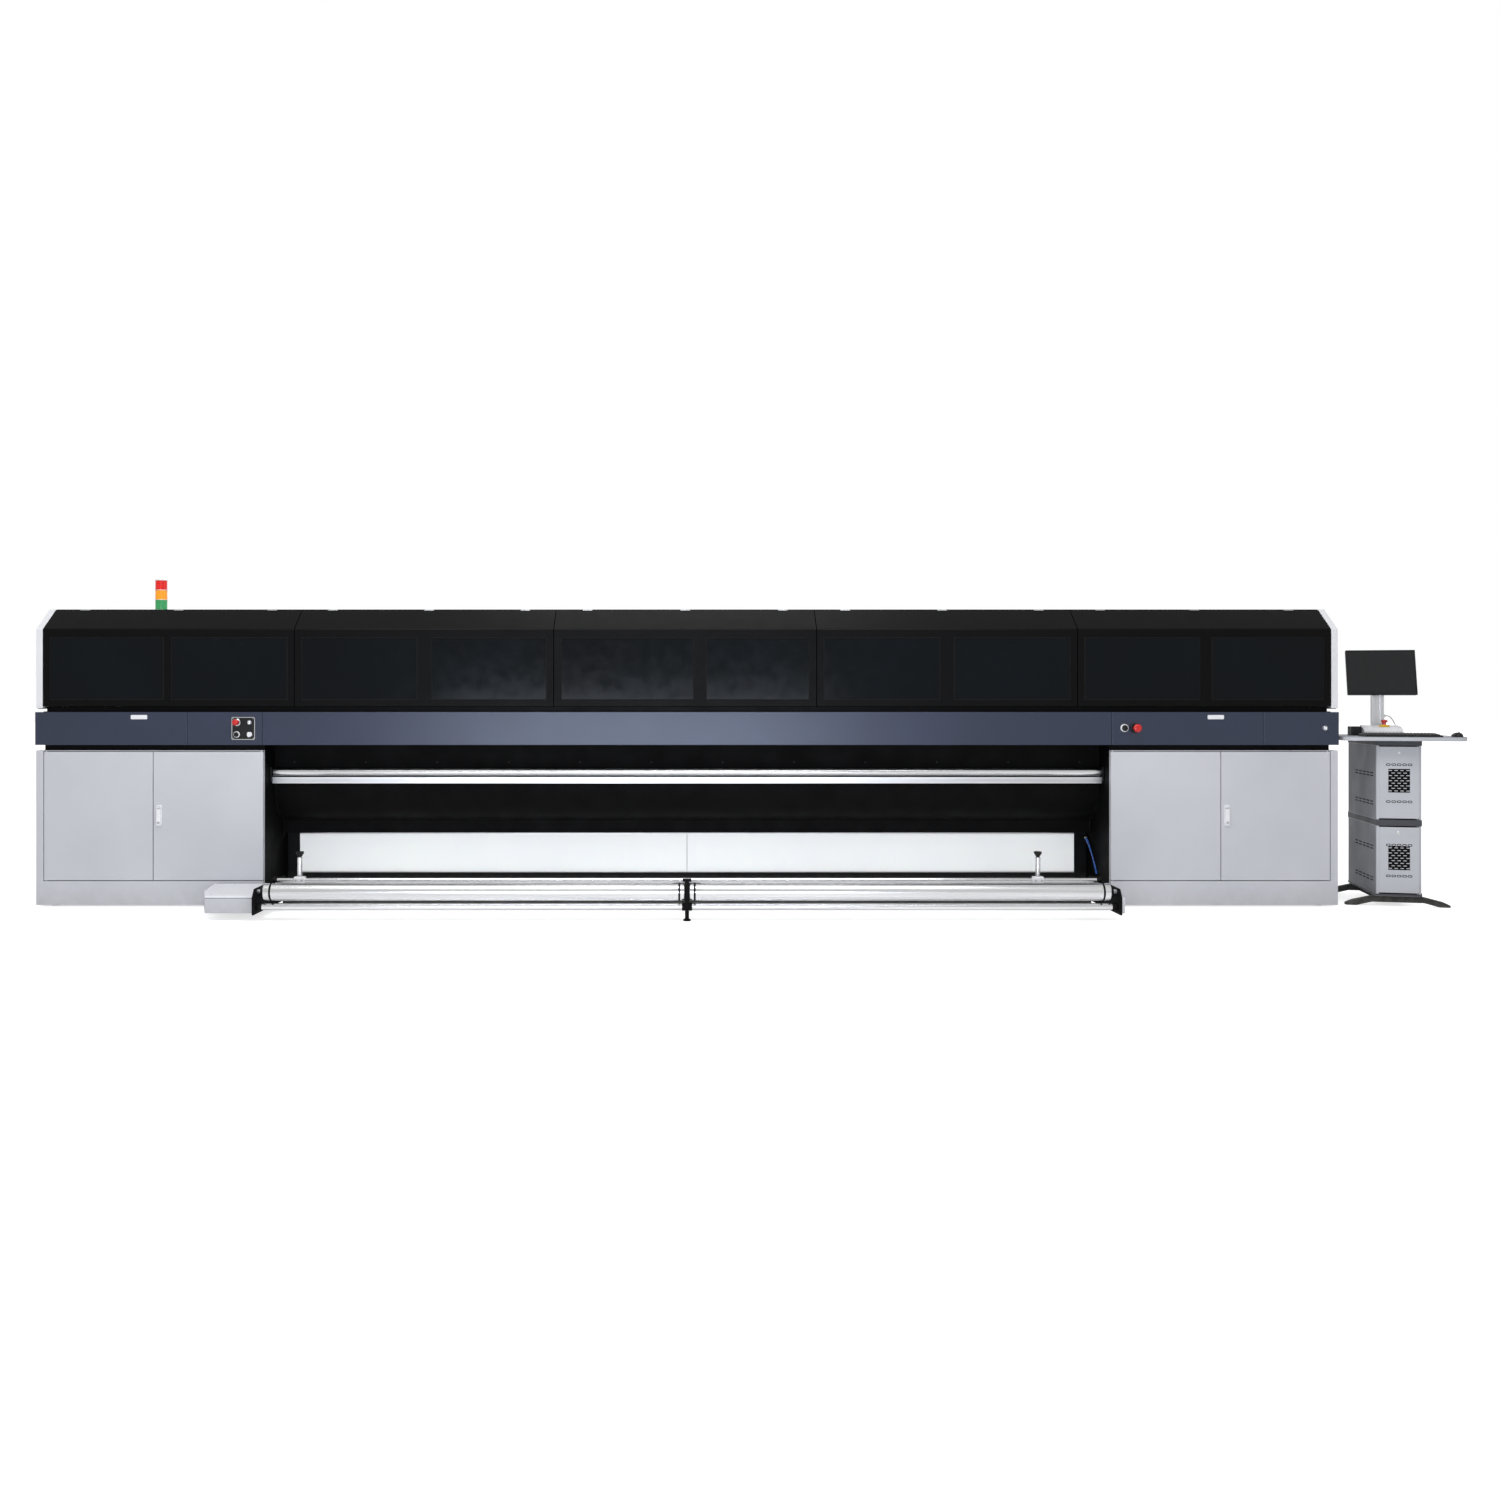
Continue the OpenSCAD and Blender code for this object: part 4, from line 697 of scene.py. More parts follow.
# Access panels on the cabinets' outer sides and backs, with louvres and screws
for label, side in (("left", -1), ("right", 1)):
    bm = bmesh.new()
    outer = side * halfBody
    low, high = span(side, halfBody, halfBody + 2.5)
    for y0, y1 in ((60, bodyDepth / 2 - 10), (bodyDepth / 2 + 10, bodyDepth - 60)):
        addBox(bm, (low, y0, 120), (high, y1, 930))
    x0, x1 = span(side, halfAperture + 60, halfBody - 60)
    for a, b in ((x0, (x0 + x1) / 2 - 10), ((x0 + x1) / 2 + 10, x1)):
        addBox(bm, (a, bodyDepth, 120), (b, bodyDepth + 2.5, 930))
    toObject(label + "AccessPanels", bm, "cabinet", bevel=0.8, slot="cabinet_enamel")
    screws(label + "SideScrews", (outer + side * 3, 90, 150), 2, (0, bodyDepth / 2 - 130, 0), "x", 3, (0, 0, 375),
           6)
    screws(label + "SideScrewsRear", (outer + side * 3, bodyDepth / 2 + 40, 150), 2, (0, bodyDepth / 2 - 130, 0),
           "x", 3, (0, 0, 375), 6)
    screws(label + "BackScrews", (x0 + 30, bodyDepth + 3, 150), 4, ((x1 - x0 - 60) / 3, 0, 0), "y", 3, (0, 0, 375),
           6)
    for k, x in enumerate((x0 * 0.75 + x1 * 0.25, x0 * 0.25 + x1 * 0.75)):
        repeated(label + "BackLouvres" + str(k), "bar", "dark", Rows=14, Start=(x, bodyDepth + 3.5, 260),
                 Turn=(0.35, 0, 0), Width=360, Height=9, Depth=3, RowStep=(0, 0, 22))
    repeated(label + "SideLouvres", "bar", "dark", Rows=12, Start=(outer + side * 3, bodyDepth * 0.75, 640),
             Width=3, Height=9, Depth=300, RowStep=(0, 0, 20))

# Feet: a pad, a threaded stem and its lock nut, under each corner
foot = {"inset": 90, "stem": 10, "root": 9.2, "pitch": 1.5, "turns": 30, "nut": 17.5}
for label, side in (("left", -1), ("right", 1)):
    pads, stems = bmesh.new(), bmesh.new()
    for x in (side * (halfAperture + foot["inset"]), side * (halfBody - foot["inset"])):
        for y in (foot["inset"], bodyDepth - foot["inset"]):
            addLathe(pads, (x, y, 0), "z", [(0, 38), (1.5, 40), (6, 40), (9, 30), (12, 16), (14, 12), (14, 0)], 32)
            crests = [(14 + foot["pitch"] * k, foot["stem" if k % 2 else "root"]) for k in range(foot["turns"])]
            thread = [(12, foot["root"])] + crests + [(59, foot["root"])]
            addLathe(stems, (x, y, 0), "z", thread, 20)
            addLathe(stems, (x, y, 0), "z", [(30, 10), (30, 16), (31, foot["nut"]), (39, foot["nut"]), (40, 16),
                                             (40, 10)], 6)
    toObject(label + "FootPads", pads, "seal", standsFor=["levelling_feet"] if side < 0 else (),
             slot="black_enamel")
    toObject(label + "FootStems", stems, "zinc")
print("cabinets done")


# Beam fascia
fascia = {"depth": 30, "gap": 3, "skin": 3, "edge": 2.2, "rim": 12}
fasciaLow, fasciaHigh = cad("beam_fascia")
fasciaEnd, fasciaBottom, fasciaTop = fasciaHigh.x, fasciaLow.z, fasciaHigh.z
seams = [-fasciaEnd, -halfAperture - 475, -halfAperture - 5, halfAperture + 5, halfAperture + 955, fasciaEnd]
for k, (x0, x1) in enumerate(zip(seams, seams[1:])):
    bm = bmesh.new()
    addTray(bm, (x0 + fascia["gap"] / 2, 0, fasciaBottom), (x1 - fascia["gap"] / 2, fascia["depth"], fasciaTop),
            fascia["rim"], fascia["skin"])
    toObject("fasciaPanel" + str(k + 1), bm, "fascia", bevel=fascia["edge"],
             standsFor=["beam_fascia"] if k == 2 else (), slot="fascia_enamel")
bm = boxes(*[((x, fascia["depth"], fasciaBottom + 3), (x + 3, bodyDepth, fasciaTop - 3))
             for x in (-fasciaEnd, fasciaEnd - 3)], ((-fasciaEnd, bodyDepth - 3, fasciaBottom),
                                                     (fasciaEnd, bodyDepth, fasciaTop)))
toObject("fasciaSidesAndBack", bm, "fascia", bevel=0.8, slot="fascia_enamel")
bm = bmesh.new()
for x in (-halfAperture - 775, halfAperture + 655):
    addPrism(bm, roundedOutline(x - 51, fasciaTop - 45, x + 51, fasciaTop - 18, 5), "y", -3, 0.5)
toObject("fingerPlates", bm, "cover", bevel=0.8)
bm = bmesh.new()
for x in (-halfAperture - 775, halfAperture + 655):
    addPrism(bm, roundedOutline(x - 44, fasciaTop - 39, x + 44, fasciaTop - 24, 4), "y", -3.6, -2.8)
toObject("fingerPlateInserts", bm, "white", bevel=0.3)
for k, x in enumerate(seams[1:-1]):
    screws("fasciaScrews" + str(k), (x - 22, -0.4, fasciaBottom + 16), 2, (44, 0, 0), "y", 2,
           (0, 0, fasciaTop - fasciaBottom - 32), 3, "fascia")
screws("backFasciaScrews", (-halfBody + 40, bodyDepth + 0.4, fasciaBottom + 25), 16,
       ((2 * halfBody - 80) / 15, 0, 0), "y", 2, (0, 0, 156), 5)
finishNode("base_frame", "frame")
finishNode("platen", "platen")
print("fascia done")


# Control panel, buttons and locks
panelLow, panelHigh = cad("control_panel")
bm = bmesh.new()
addPrism(bm, roundedOutline(panelLow.x, panelLow.z, panelHigh.x, panelHigh.z, 6), "y", -5, 0)
toObject("controlPanelPlate", bm, "black", bevel=1.4, standsFor=["control_panel"], slot="device_black")
rim = {"width": 4, "proud": 1.4}
bm = bmesh.new()
outer = roundedOutline(panelLow.x, panelLow.z, panelHigh.x, panelHigh.z, 9)
inner = roundedOutline(panelLow.x + rim["width"], panelLow.z + rim["width"], panelHigh.x - rim["width"],
                       panelHigh.z - rim["width"], 6)
proud = -5 - rim["proud"]
rings = addRings(bm, (outer, -4), (outer, proud), (inner, proud), (inner, -4))
addSkin(bm, rings + rings[:1])
toObject("controlPanelRim", bm, "steel", slot="polished_steel")
screws("controlPanelScrews", (panelLow.x + 10, -5.4, panelLow.z + 10), 2, (panelHigh.x - panelLow.x - 20, 0, 0),
       "y", 2, (0, 0, panelHigh.z - panelLow.z - 20), 3.5)


def buttonCentre(node):
    low, high = cad(node)
    return (low.x + high.x) / 2, (low.z + high.z) / 2


# A latching stop button: domed head, waist and collar
def mushroomButton(node, face, radius, reach, collar):
    x, z = buttonCentre(node)
    head = bmesh.new()
    r = radius
    addLathe(head, (x, 0, z), "y", [(face - reach, 0), (face - reach, r * 0.45), (face - reach + 1.5, r * 0.72),
                                    (face - reach + 5, r * 0.93), (face - reach + 9, r), (face - reach + 13, r),
                                    (face - reach + 17, r * 0.9), (face - reach + 20, r * 0.68),
                                    (face + 18, r * 0.42), (face + 18, 0)], 48)
    name = node.replace("_stop", "Stop").replace("_button", "Button")
    toObject(name, head, "red", node, standsFor=[node], slot="stop_red", angle=34)
    ring = bmesh.new()
    addLathe(ring, (x, 0, z), "y", [(face - 1.5, r * 0.55), (face - 6, r * 0.62), (face - 6, r * 0.95),
                                    (face - 4, r * 1.12), (face, r * 1.18), (face, r * 0.55)], 48)
    toObject(name + "Collar", ring, collar)


# A flush push button in a bright bezel
def pushButton(node, face, radius):
    x, z = buttonCentre(node)
    cap = bmesh.new()
    addLathe(cap, (x, 0, z), "y", [(face - 18, 0), (face - 18, radius * 0.62), (face - 17, radius * 0.72),
                                   (face - 8, radius * 0.72), (face - 8, radius * 0.5), (face + 15, radius * 0.5),
                                   (face + 15, 0)], 40)
    name = node.replace("_start", "Start").replace("_button", "Button")
    toObject(name, cap, "black", node, standsFor=[node], slot="device_black")
    ring = bmesh.new()
    addLathe(ring, (x, 0, z), "y", [(face, radius), (face - 5, radius), (face - 9, radius * 0.94),
                                    (face - 11, radius * 0.86), (face - 11, radius * 0.76), (face, radius * 0.76)],
             48)
    toObject(name + "Bezel", ring, "white", slot="button_white")


# A turning knob: a collar and the bar that the fingers hold
def turnKnob(node, face, radius, wing, material, slot):
    x, z = buttonCentre(node)
    name = node.split("_")[0] + node.split("_")[1].title()
    bar = bmesh.new()
    addPrism(bar, roundedOutline(x - wing[0] / 2, z - wing[1] / 2, x + wing[0] / 2, z + wing[1] / 2, wing[0] * 0.4),
             "y", face - 24, face - 9)
    toObject(name + "Bar", bar, material, node, 0.8, 2, [node], slot)
    collar = bmesh.new()
    addLathe(collar, (x, 0, z), "y", [(face - 0.5, radius), (face - 7, radius), (face - 10, radius * 0.86),
                                      (face - 10, 0)], 40)
    toObject(name + "Collar", collar, "zinc" if material == "steel" else material, node)


mushroomButton("beam_stop_button", 0, 26, 58, "black")
mushroomButton("panel_stop_button", -5, 20, 42, "steel")
pushButton("beam_start_button", 0, 25)
pushButton("panel_start_button", -5, 20)
turnKnob("panel_selector", -5, 14, (8, 26), "steel", "polished_steel")
turnKnob("panel_lever", -5, 16, (13, 32), "white", "button_white")
turnKnob("key_lock", 0, 17, (3, 20), "steel", "polished_steel")
print("controls done")


# Hood
hoodTop = cad("hood_shell")[1].z
hood = {"slopeRise": 135, "slopeDepth": 170, "bend": 9, "skin": 4, "frameDepth": 25, "windowEdge": 40, "sill": 38,
        "head": 50, "stileWidths": [42, 80, 70, 82, 68], "stileShifts": [-8, 0, 92, 0, 10], "pane": 5, "seal": 7,
        "hingeRadius": 4, "knuckle": 60}
frontTop = hoodTop - hood["slopeRise"]
fall = hood["slopeRise"] / hood["slopeDepth"]
hingeY, hingeZ = hood["slopeDepth"] + 2, hoodTop - 5


# A cover: a window frame, the sloping sheet above it, two sealed panes and its hinge knuckles
def hoodCover(index):
    node = "cover_" + str(index + 1)
    low, high = cad(node)
    x0, x1, z0 = low.x, high.x, low.z
    mid = (x0 + x1) / 2 + hood["stileShifts"][index]
    half = hood["stileWidths"][index] / 2
    w0, w1 = z0 + hood["sill"], frontTop - hood["head"]
    xs = [x0, x0 + hood["windowEdge"], mid - half, mid + half, x1 - hood["windowEdge"], x1]
    bm = bmesh.new()
    addFrame(bm, xs, [z0, w0, w1, frontTop - hood["bend"]], [(1, 1), (3, 1)], 0, hood["frameDepth"])
    topY = hingeY - 8
    topZ = hoodTop - (hood["slopeDepth"] - topY) * fall
    outline = foldedSheet([(0, frontTop - hood["bend"] - 0.01), (0, frontTop), (topY, topZ)][::-1], hood["skin"],
                          hood["bend"])
    addPrism(bm, outline, "x", x0, x1)
    toObject("hoodCover" + str(index + 1), bm, "hood", node, 1.6, 2, [node], "hood_black", angle=30)
    seals, panes = bmesh.new(), bmesh.new()
    for a, b in ((xs[1], xs[2]), (xs[3], xs[4])):
        s = hood["seal"]
        addFrame(seals, [a, a + s, b - s, b], [w0, w0 + s, w1 - s, w1], [(1, 1)], 1.2, 10)
        addBox(panes, (a + 1, 4, w0 + 1), (b - 1, 4 + hood["pane"], w1 - 1))
    toObject(node.replace("_", "") + "Seals", seals, "seal", node, 1.0)
    toObject(node.replace("_", "") + "Panes", panes, "pane", node, 0.8)
    knuckles = bmesh.new()
    for share in (0.12, 0.5, 0.88):
        x = x0 + share * (x1 - x0)
        addRod(knuckles, (0, hingeY, hingeZ), "x", x - hood["knuckle"] / 2, x + hood["knuckle"] / 2,
               hood["hingeRadius"], 0.5, 20)
        addBox(knuckles, (x - hood["knuckle"] / 2, topY - 8, hingeZ - 3.6),
               (x + hood["knuckle"] / 2, hingeY - 1, hingeZ - 0.4))
    toObject(node.replace("_", "") + "Knuckles", knuckles, "zinc", node)


for index in range(5):
    hoodCover(index)

finishNode("hood_shell", "hood")
finishNode("gantry_beam", "dark")
for side, label in ((-1, "left"), (1, "right")):
    node = "hood_end_" + label
    low, high = cad(node)
    bm = bmesh.new()
    addPrism(bm, [(0, low.z), (0, frontTop), (hood["slopeDepth"], hoodTop),
                  (bodyDepth - hood["slopeDepth"], hoodTop), (bodyDepth, frontTop), (bodyDepth, low.z)], "x", low.x,
             high.x)
    toObject("hoodEnd" + label.title(), bm, "endPanel", bevel=4, segments=3, standsFor=[node],
             slot="end_panel_enamel")
    # A thin black sheet under each end panel: a painted shadow line in the gap below it
    strip = bmesh.new()
    x0, x1 = span(side, halfBody - 44, halfBody - 6)
    addBox(strip, (x0, 12, low.z - 3.5), (x1, bodyDepth - 12, low.z - 0.2))
    toObject("hoodEndShadowStrip" + label.title(), strip, "dark", bevel=0.4)
    screws("hoodEndScrews" + label.title(), (high.x + 0.6 if side > 0 else low.x - 0.6, 120, 1300), 5, (0, 290, 0),
           "x", 2, (0, 0, 420), 7)

# Roof: cross ribs, hinge screws and the rear grilles
roofRear = bodyDepth - hood["slopeDepth"]
repeated("roofRibs", "bar", "hood", Columns=9, Start=(-3600, (200 + roofRear) / 2, hoodTop - 0.6), Width=24,
         Height=1.4, Depth=roofRear - 240, ColumnStep=(900, 0, 0), slot="hood_black")
screws("roofScrewsFront", (-3960, 205, hoodTop - 1.9), 34, (240, 0, 0), "z", 2, (0, roofRear - 230, 0), 5, "black")
for k in range(5):
    x = -3200 + 1600 * k
    repeated("rearGrille" + str(k), "bar", "dark", Rows=14, Start=(x, bodyDepth - 2.5, 1380), Turn=(0.4, 0, 0),
             Width=640, Height=11, Depth=3, RowStep=(0, 0, 20))
    screws("rearPanelScrews" + str(k), (x - 740, bodyDepth - 1.4, 1290), 2, (1480, 0, 0), "y", 3, (0, 0, 200), 5,
           "black")
bm = bmesh.new()
for k in range(6):
    x = min(max(-4000 + 1600 * k, -4033), 4010)
    addBox(bm, (x, bodyDepth - 4, 1256), (x + 22, bodyDepth - 0.5, frontTop - 6))
toObject("rearCoverStrips", bm, "hood", bevel=0.6, slot="hood_black")
bm = box((-halfBody + 40, bodyDepth - 7, fasciaTop - 2), (halfBody - 40, bodyDepth - 4, fasciaTop + 42))
toObject("rearClosingStrip", bm, "dark", bevel=0.6)

# Signal tower: base, three lenses with a rib between them, and a cap
towerLow, towerHigh = cad("signal_tower")
tower = {"x": (towerLow.x + towerHigh.x) / 2, "y": (towerLow.y + towerHigh.y) / 2, "radius": 37, "lens": 62,
         "pitch": 64, "base": 14}
at = (tower["x"], tower["y"], 0)
bm = bmesh.new()
r, z = tower["radius"], towerLow.z
addLathe(bm, at, "z", [(z, 34), (z + 3, 38), (z + 10, 38), (z + 14, 36), (z + 14, 0)], 48)
for k in (1, 2, 3):
    ringZ = z + tower["base"] + tower["pitch"] * k
    addLathe(bm, at, "z", [(ringZ - 2, r - 3), (ringZ - 2, r + 1.5), (ringZ + 1, r + 1.5), (ringZ + 1, r - 3)], 48)
top = z + tower["base"] + tower["pitch"] * 3
addLathe(bm, at, "z", [(top, r), (top + 3, r), (towerHigh.z - 1, r * 0.86), (towerHigh.z, r * 0.7),
                       (towerHigh.z, 0)], 48)
toObject("signalTowerRings", bm, "white", slot="handle_white", standsFor=["signal_tower"])
for k, (label, material) in enumerate((("Green", "greenLens"), ("Amber", "amberLens"), ("Red", "redLens"))):
    bm = bmesh.new()
    z0 = z + tower["base"] + tower["pitch"] * k
    ribs = []
    for j in range(9):
        ribs += [(z0 + 2 + j * 6.6, r - 1.2), (z0 + 4 + j * 6.6, r), (z0 + 6.5 + j * 6.6, r)]
    addLathe(bm, at, "z", [(z0, r - 2)] + ribs + [(z0 + tower["lens"], r - 2)], 48)
    toObject("signalLens" + label, bm, material, slot="tower_plastic")
print("hood done")


# Print unit inside the hood
railZ = [1440, 1580]
bm = bmesh.new()
for z in railZ:
    outline = [(z - 10.4, 739.5), (z + 10.4, 739.5), (z + 10.4, 746), (z + 6, 749), (z + 6, 753), (z + 10.4, 756),
               (z + 10.4, 760), (z - 10.4, 760), (z - 10.4, 756), (z - 6, 753), (z - 6, 749), (z - 10.4, 746)]
    addPrism(bm, [(b, a) for a, b in outline], "x", -halfBody + 125, halfBody - 125)
toObject("linearRails", bm, "steel", slot="polished_steel")

carLow, carHigh = cad("print_carriage")
platenTop = cad("platen")[1].z
car = {"low": platenTop + 12, "top": platenTop + 350, "front": carLow.y, "back": 735, "left": carLow.x,
       "right": carHigh.x}
bm = bmesh.new()
addPrism(bm, [(car["front"], car["low"] + 30), (car["front"], car["top"] - 60), (car["front"] + 40, car["top"]),
              (car["back"], car["top"]), (car["back"], car["low"] + 8), (car["front"] + 18, car["low"] + 8)], "x",
         car["left"] + 130, car["right"] - 130)
toObject("carriageCasing", bm, "black", "print_carriage", 8, 3, ["print_carriage"], "device_black")
bm = bmesh.new()
for x0, x1 in ((car["left"], car["left"] + 126), (car["right"] - 126, car["right"])):
    addPrism(bm, [(car["front"] + 20, car["low"]), (car["front"] + 20, car["top"] - 90),
                  (car["front"] + 50, car["top"] - 60), (car["back"] - 20, car["top"] - 60),
                  (car["back"] - 20, car["low"])], "x", x0, x1)
toObject("curingLampHousings", bm, "charcoal", "print_carriage", 5, 3)
bm = bmesh.new()
for row in range(4):
    for k in range(3):
        x, y = (car["left"] + car["right"]) / 2 - 190 + k * 140 + (row % 2) * 40, car["front"] + 70 + row * 90
        addBox(bm, (x, y, platenTop + 4), (x + 80, y + 50, car["low"] + 30))
toObject("printHeads", bm, "steel", "print_carriage", 1.5)
bm = bmesh.new()
for x in (car["left"] + 60, car["right"] - 140):
    for z in railZ:
        addBox(bm, (x, car["back"] - 4, z - 26), (x + 80, 738, z + 26))
addBox(bm, (car["left"] + 20, car["back"] - 12, railZ[0] - 30), (car["right"] - 20, car["back"], carHigh.z))
toObject("bearingBlocks", bm, "zinc", "print_carriage", 2)
repeated("carriageVents", "bar", "dark", "print_carriage", Columns=12, Rows=2,
         Start=((car["left"] + car["right"]) / 2 - 220, (car["front"] + car["back"]) / 2 - 60, car["top"] + 0.4),
         Width=14, Height=1.6, Depth=90, ColumnStep=(40, 0, 0), RowStep=(0, 140, 0))
repeated("carriageFrontRibs", "bar", "dark", "print_carriage", Rows=7,
         Start=((car["left"] + car["right"]) / 2, car["front"] - 0.2, car["low"] + 80), Width=300, Height=8,
         Depth=1.2, RowStep=(0, 0, 18))


# A roller with turned ends and steel journals, from its CAD node's size. A journal is its (radius, length)
def roller(node, name, material, journal, slot):
    low, high = cad(node)
    y, z = (low.y + high.y) / 2, (low.z + high.z) / 2
    radius = (high.z - low.z) / 2
    thick, reach = journal
    bm = bmesh.new()
    addRod(bm, (0, y, z), "x", low.x + reach, high.x - reach, radius, 1.5, 64)
    toObject(name, bm, material, node, standsFor=[node], slot=slot)
    ends = bmesh.new()
    for start, end in ((low.x, low.x + reach + 0.5), (high.x - reach - 0.5, high.x)):
        addRod(ends, (0, y, z), "x", start, end, thick, 0.8, 32)
    toObject(name + "Journals", ends, "steel", node, slot="polished_steel")


roller("drive_roller", "driveRoller", "rubber", (20, 14), "drive_rubber")
roller("pinch_roller", "pinchRoller", "rubber", (10, 14), "drive_rubber")
roller("guide_roller", "guideRoller", "steel", (12, 16), "polished_steel")
roller("unwind_shaft", "unwindShaft", "steel", (20, 22), "polished_steel")
print("print unit done")


# Media path between the cabinets
deflector = {"edge": 250, "bendTop": 745, "reach": 170, "drop": 240, "sheet": 3}
lightLow, lightHigh = cad("light_box")
curve = [(deflector["edge"] + deflector["reach"] * (1 - math.cos(math.radians(a))),
          deflector["bendTop"] - deflector["drop"] * math.sin(math.radians(a))) for a in range(0, 91, 5)]
line = [(deflector["edge"], fasciaBottom)] + curve + [(420, lightHigh.z + 8)]
back = [(y + deflector["sheet"], z + (0 if k < 2 else deflector["sheet"])) for k, (y, z) in enumerate(line)]
bm = bmesh.new()
addPrism(bm, line + back[::-1], "x", -halfAperture + 2, halfAperture - 2)
toObject("deflectorSheet", bm, "dark", standsFor=["deflector"], slot="black_enamel", angle=30)
screws("deflectorScrews", (-halfAperture + 120, deflector["edge"] - 0.6, fasciaBottom - 120), 12,
       ((2 * halfAperture - 240) / 11, 0, 0), "y", 1, (0, 0, 1), 5, "black")

# Light box: a shallow tray, two opal sheets and the frame that clips them
diffuserLow, diffuserHigh = cad("light_diffusers")
light = {"seam": 4, "edge": 2}
bm = bmesh.new()
addFrame(bm, [lightLow.x, lightLow.x + 3, lightHigh.x - 3, lightHigh.x],
         [lightLow.z, lightLow.z + 14, lightHigh.z - 14, lightHigh.z], [(1, 1)], lightLow.y, lightHigh.y)
addBox(bm, (lightLow.x, lightHigh.y - 3, lightLow.z), (lightHigh.x, lightHigh.y, lightHigh.z))
toObject("lightBoxTray", bm, "endPanel", bevel=1, standsFor=["light_box"], slot="end_panel_enamel")
near, far, seam = diffuserLow.y, diffuserHigh.y - 0.2, light["seam"] / 2
bm = boxes(((diffuserLow.x, near, diffuserLow.z), (-seam, far, diffuserHigh.z)),
           ((seam, near, diffuserLow.z), (diffuserHigh.x, far, diffuserHigh.z)))
toObject("lightDiffuserSheets", bm, "opal", bevel=light["edge"], segments=3, standsFor=["light_diffusers"],
         slot="diffuser_acrylic")
bm = bmesh.new()
for z0, z1 in ((diffuserHigh.z, diffuserHigh.z + 7), (diffuserLow.z - 7, diffuserLow.z)):
    addPrism(bm, [(diffuserLow.y - 3, z0), (diffuserLow.y - 3, z1), (lightHigh.y, z1), (lightHigh.y, z0)], "x",
             lightLow.x, lightHigh.x)
toObject("lightBoxClips", bm, "aluminium", bevel=1, slot="anodised_aluminium")

# Slotted profile under the guide roller, with its brackets and screws
rollerLow, rollerHigh = cad("guide_roller")
rollerY, rollerZ = (rollerLow.y + rollerHigh.y) / 2, (rollerLow.z + rollerHigh.z) / 2
profile = {"size": 40, "bracket": 14, "slot": 8, "slotDepth": 9, "cavity": 14}
p1 = rollerZ - (rollerHigh.z - rollerLow.z) / 2 - 6
p0, y0, y1 = p1 - profile["size"], rollerY - profile["size"] / 2, rollerY + profile["size"] / 2
mid, s, c, d = (p0 + p1) / 2, profile["slot"] / 2, profile["cavity"] / 2, profile["slotDepth"]
outline = [(y0, p0), (y0, mid - s), (y0 + 3, mid - s), (y0 + 3, mid - c), (y0 + d, mid - c), (y0 + d, mid + c),
           (y0 + 3, mid + c), (y0 + 3, mid + s), (y0, mid + s), (y0, p1), (y1, p1), (y1, mid + s),
           (y1 - 3, mid + s), (y1 - 3, mid + c), (y1 - d, mid + c), (y1 - d, mid - c), (y1 - 3, mid - c),
           (y1 - 3, mid - s), (y1, mid - s), (y1, p0)]
bm = bmesh.new()
addPrism(bm, outline, "x", -halfAperture + profile["bracket"], halfAperture - profile["bracket"])
toObject("guideProfile", bm, "aluminium", bevel=0.8, standsFor=["guide_profile"], slot="anodised_aluminium")
bm = bmesh.new()
for x0, x1 in ((-halfAperture, -halfAperture + profile["bracket"]),
               (halfAperture - profile["bracket"], halfAperture)):
    addPrism(bm, [(rollerY - 34, rollerZ + 34), (rollerY + 40, rollerZ + 34), (rollerY + 40, p0),
                  (rollerY - 20, p0), (rollerY - 34, p0 + 14)], "x", x0, x1)
toObject("guideBrackets", bm, "frame", bevel=3, segments=3)
screws("profileScrews", (-1450, y0 + 4, p1 + 0.6), 4, (950, 0, 0), "z", 1, (0, 0, 1), 5)

# Take-up unit: end plates, rear tube, ties and feet
shaftLow, shaftHigh = cad("takeup_shaft_right")
takeupY, takeupZ = (shaftLow.y + shaftHigh.y) / 2, (shaftLow.z + shaftHigh.z) / 2
takeup = {"half": shaftHigh.x - 11, "plate": 12, "bottom": 45, "reach": 75, "rise": 22, "tieZ": 85, "tie": 20,
          "barY": -240, "barZ": 200, "bar": 15}
halfTakeup, front0 = takeup["half"], takeupY - takeup["reach"]
plateTop = takeupZ + takeup["rise"]
tieLine, barLine = (0, takeupY, takeup["tieZ"]), (0, takeup["barY"], takeup["barZ"])
bm = bmesh.new()
for side in (-1, 1):
    x0, x1 = span(side, halfTakeup, halfTakeup + takeup["plate"])
    addPrism(bm, [(front0, takeup["bottom"]), (front0, takeupZ - 25), (front0 + 35, plateTop), (-20, plateTop + 6),
                  (0, plateTop - 14), (0, 65), (-40, takeup["bottom"])], "x", x0, x1)
toObject("takeupEndPlates", bm, "dark", bevel=3, segments=3, standsFor=["takeup_frame"], slot="black_enamel")
bm = bmesh.new()
addPrism(bm, roundedOutline(-60, 30, -20, 100, 4), "x", -halfTakeup, halfTakeup)
for side in (-1, 1):
    x0, x1 = span(side, halfTakeup + takeup["plate"], halfAperture + 40)
    addPrism(bm, roundedOutline(x0, 60, x1, 100, 4), "y", -20, 0)
toObject("takeupRearTube", bm, "frame", slot="black_enamel")
bm = bmesh.new()
for x in (-halfTakeup + 300, halfTakeup - 300):
    addLathe(bm, (x, -40, 0), "z", [(0, 30), (2, 32), (8, 32), (11, 20), (12, 12), (31, 12), (31, 0)], 32)
toObject("takeupFeet", bm, "frame", slot="black_enamel")
for label, side in (("Left", -1), ("Right", 1)):
    screws("takeupPlateScrews" + label, (side * (halfTakeup + takeup["plate"] + 0.8), -60, 80), 2, (0, 30, 0), "x",
           2, (0, 0, 60), 6)

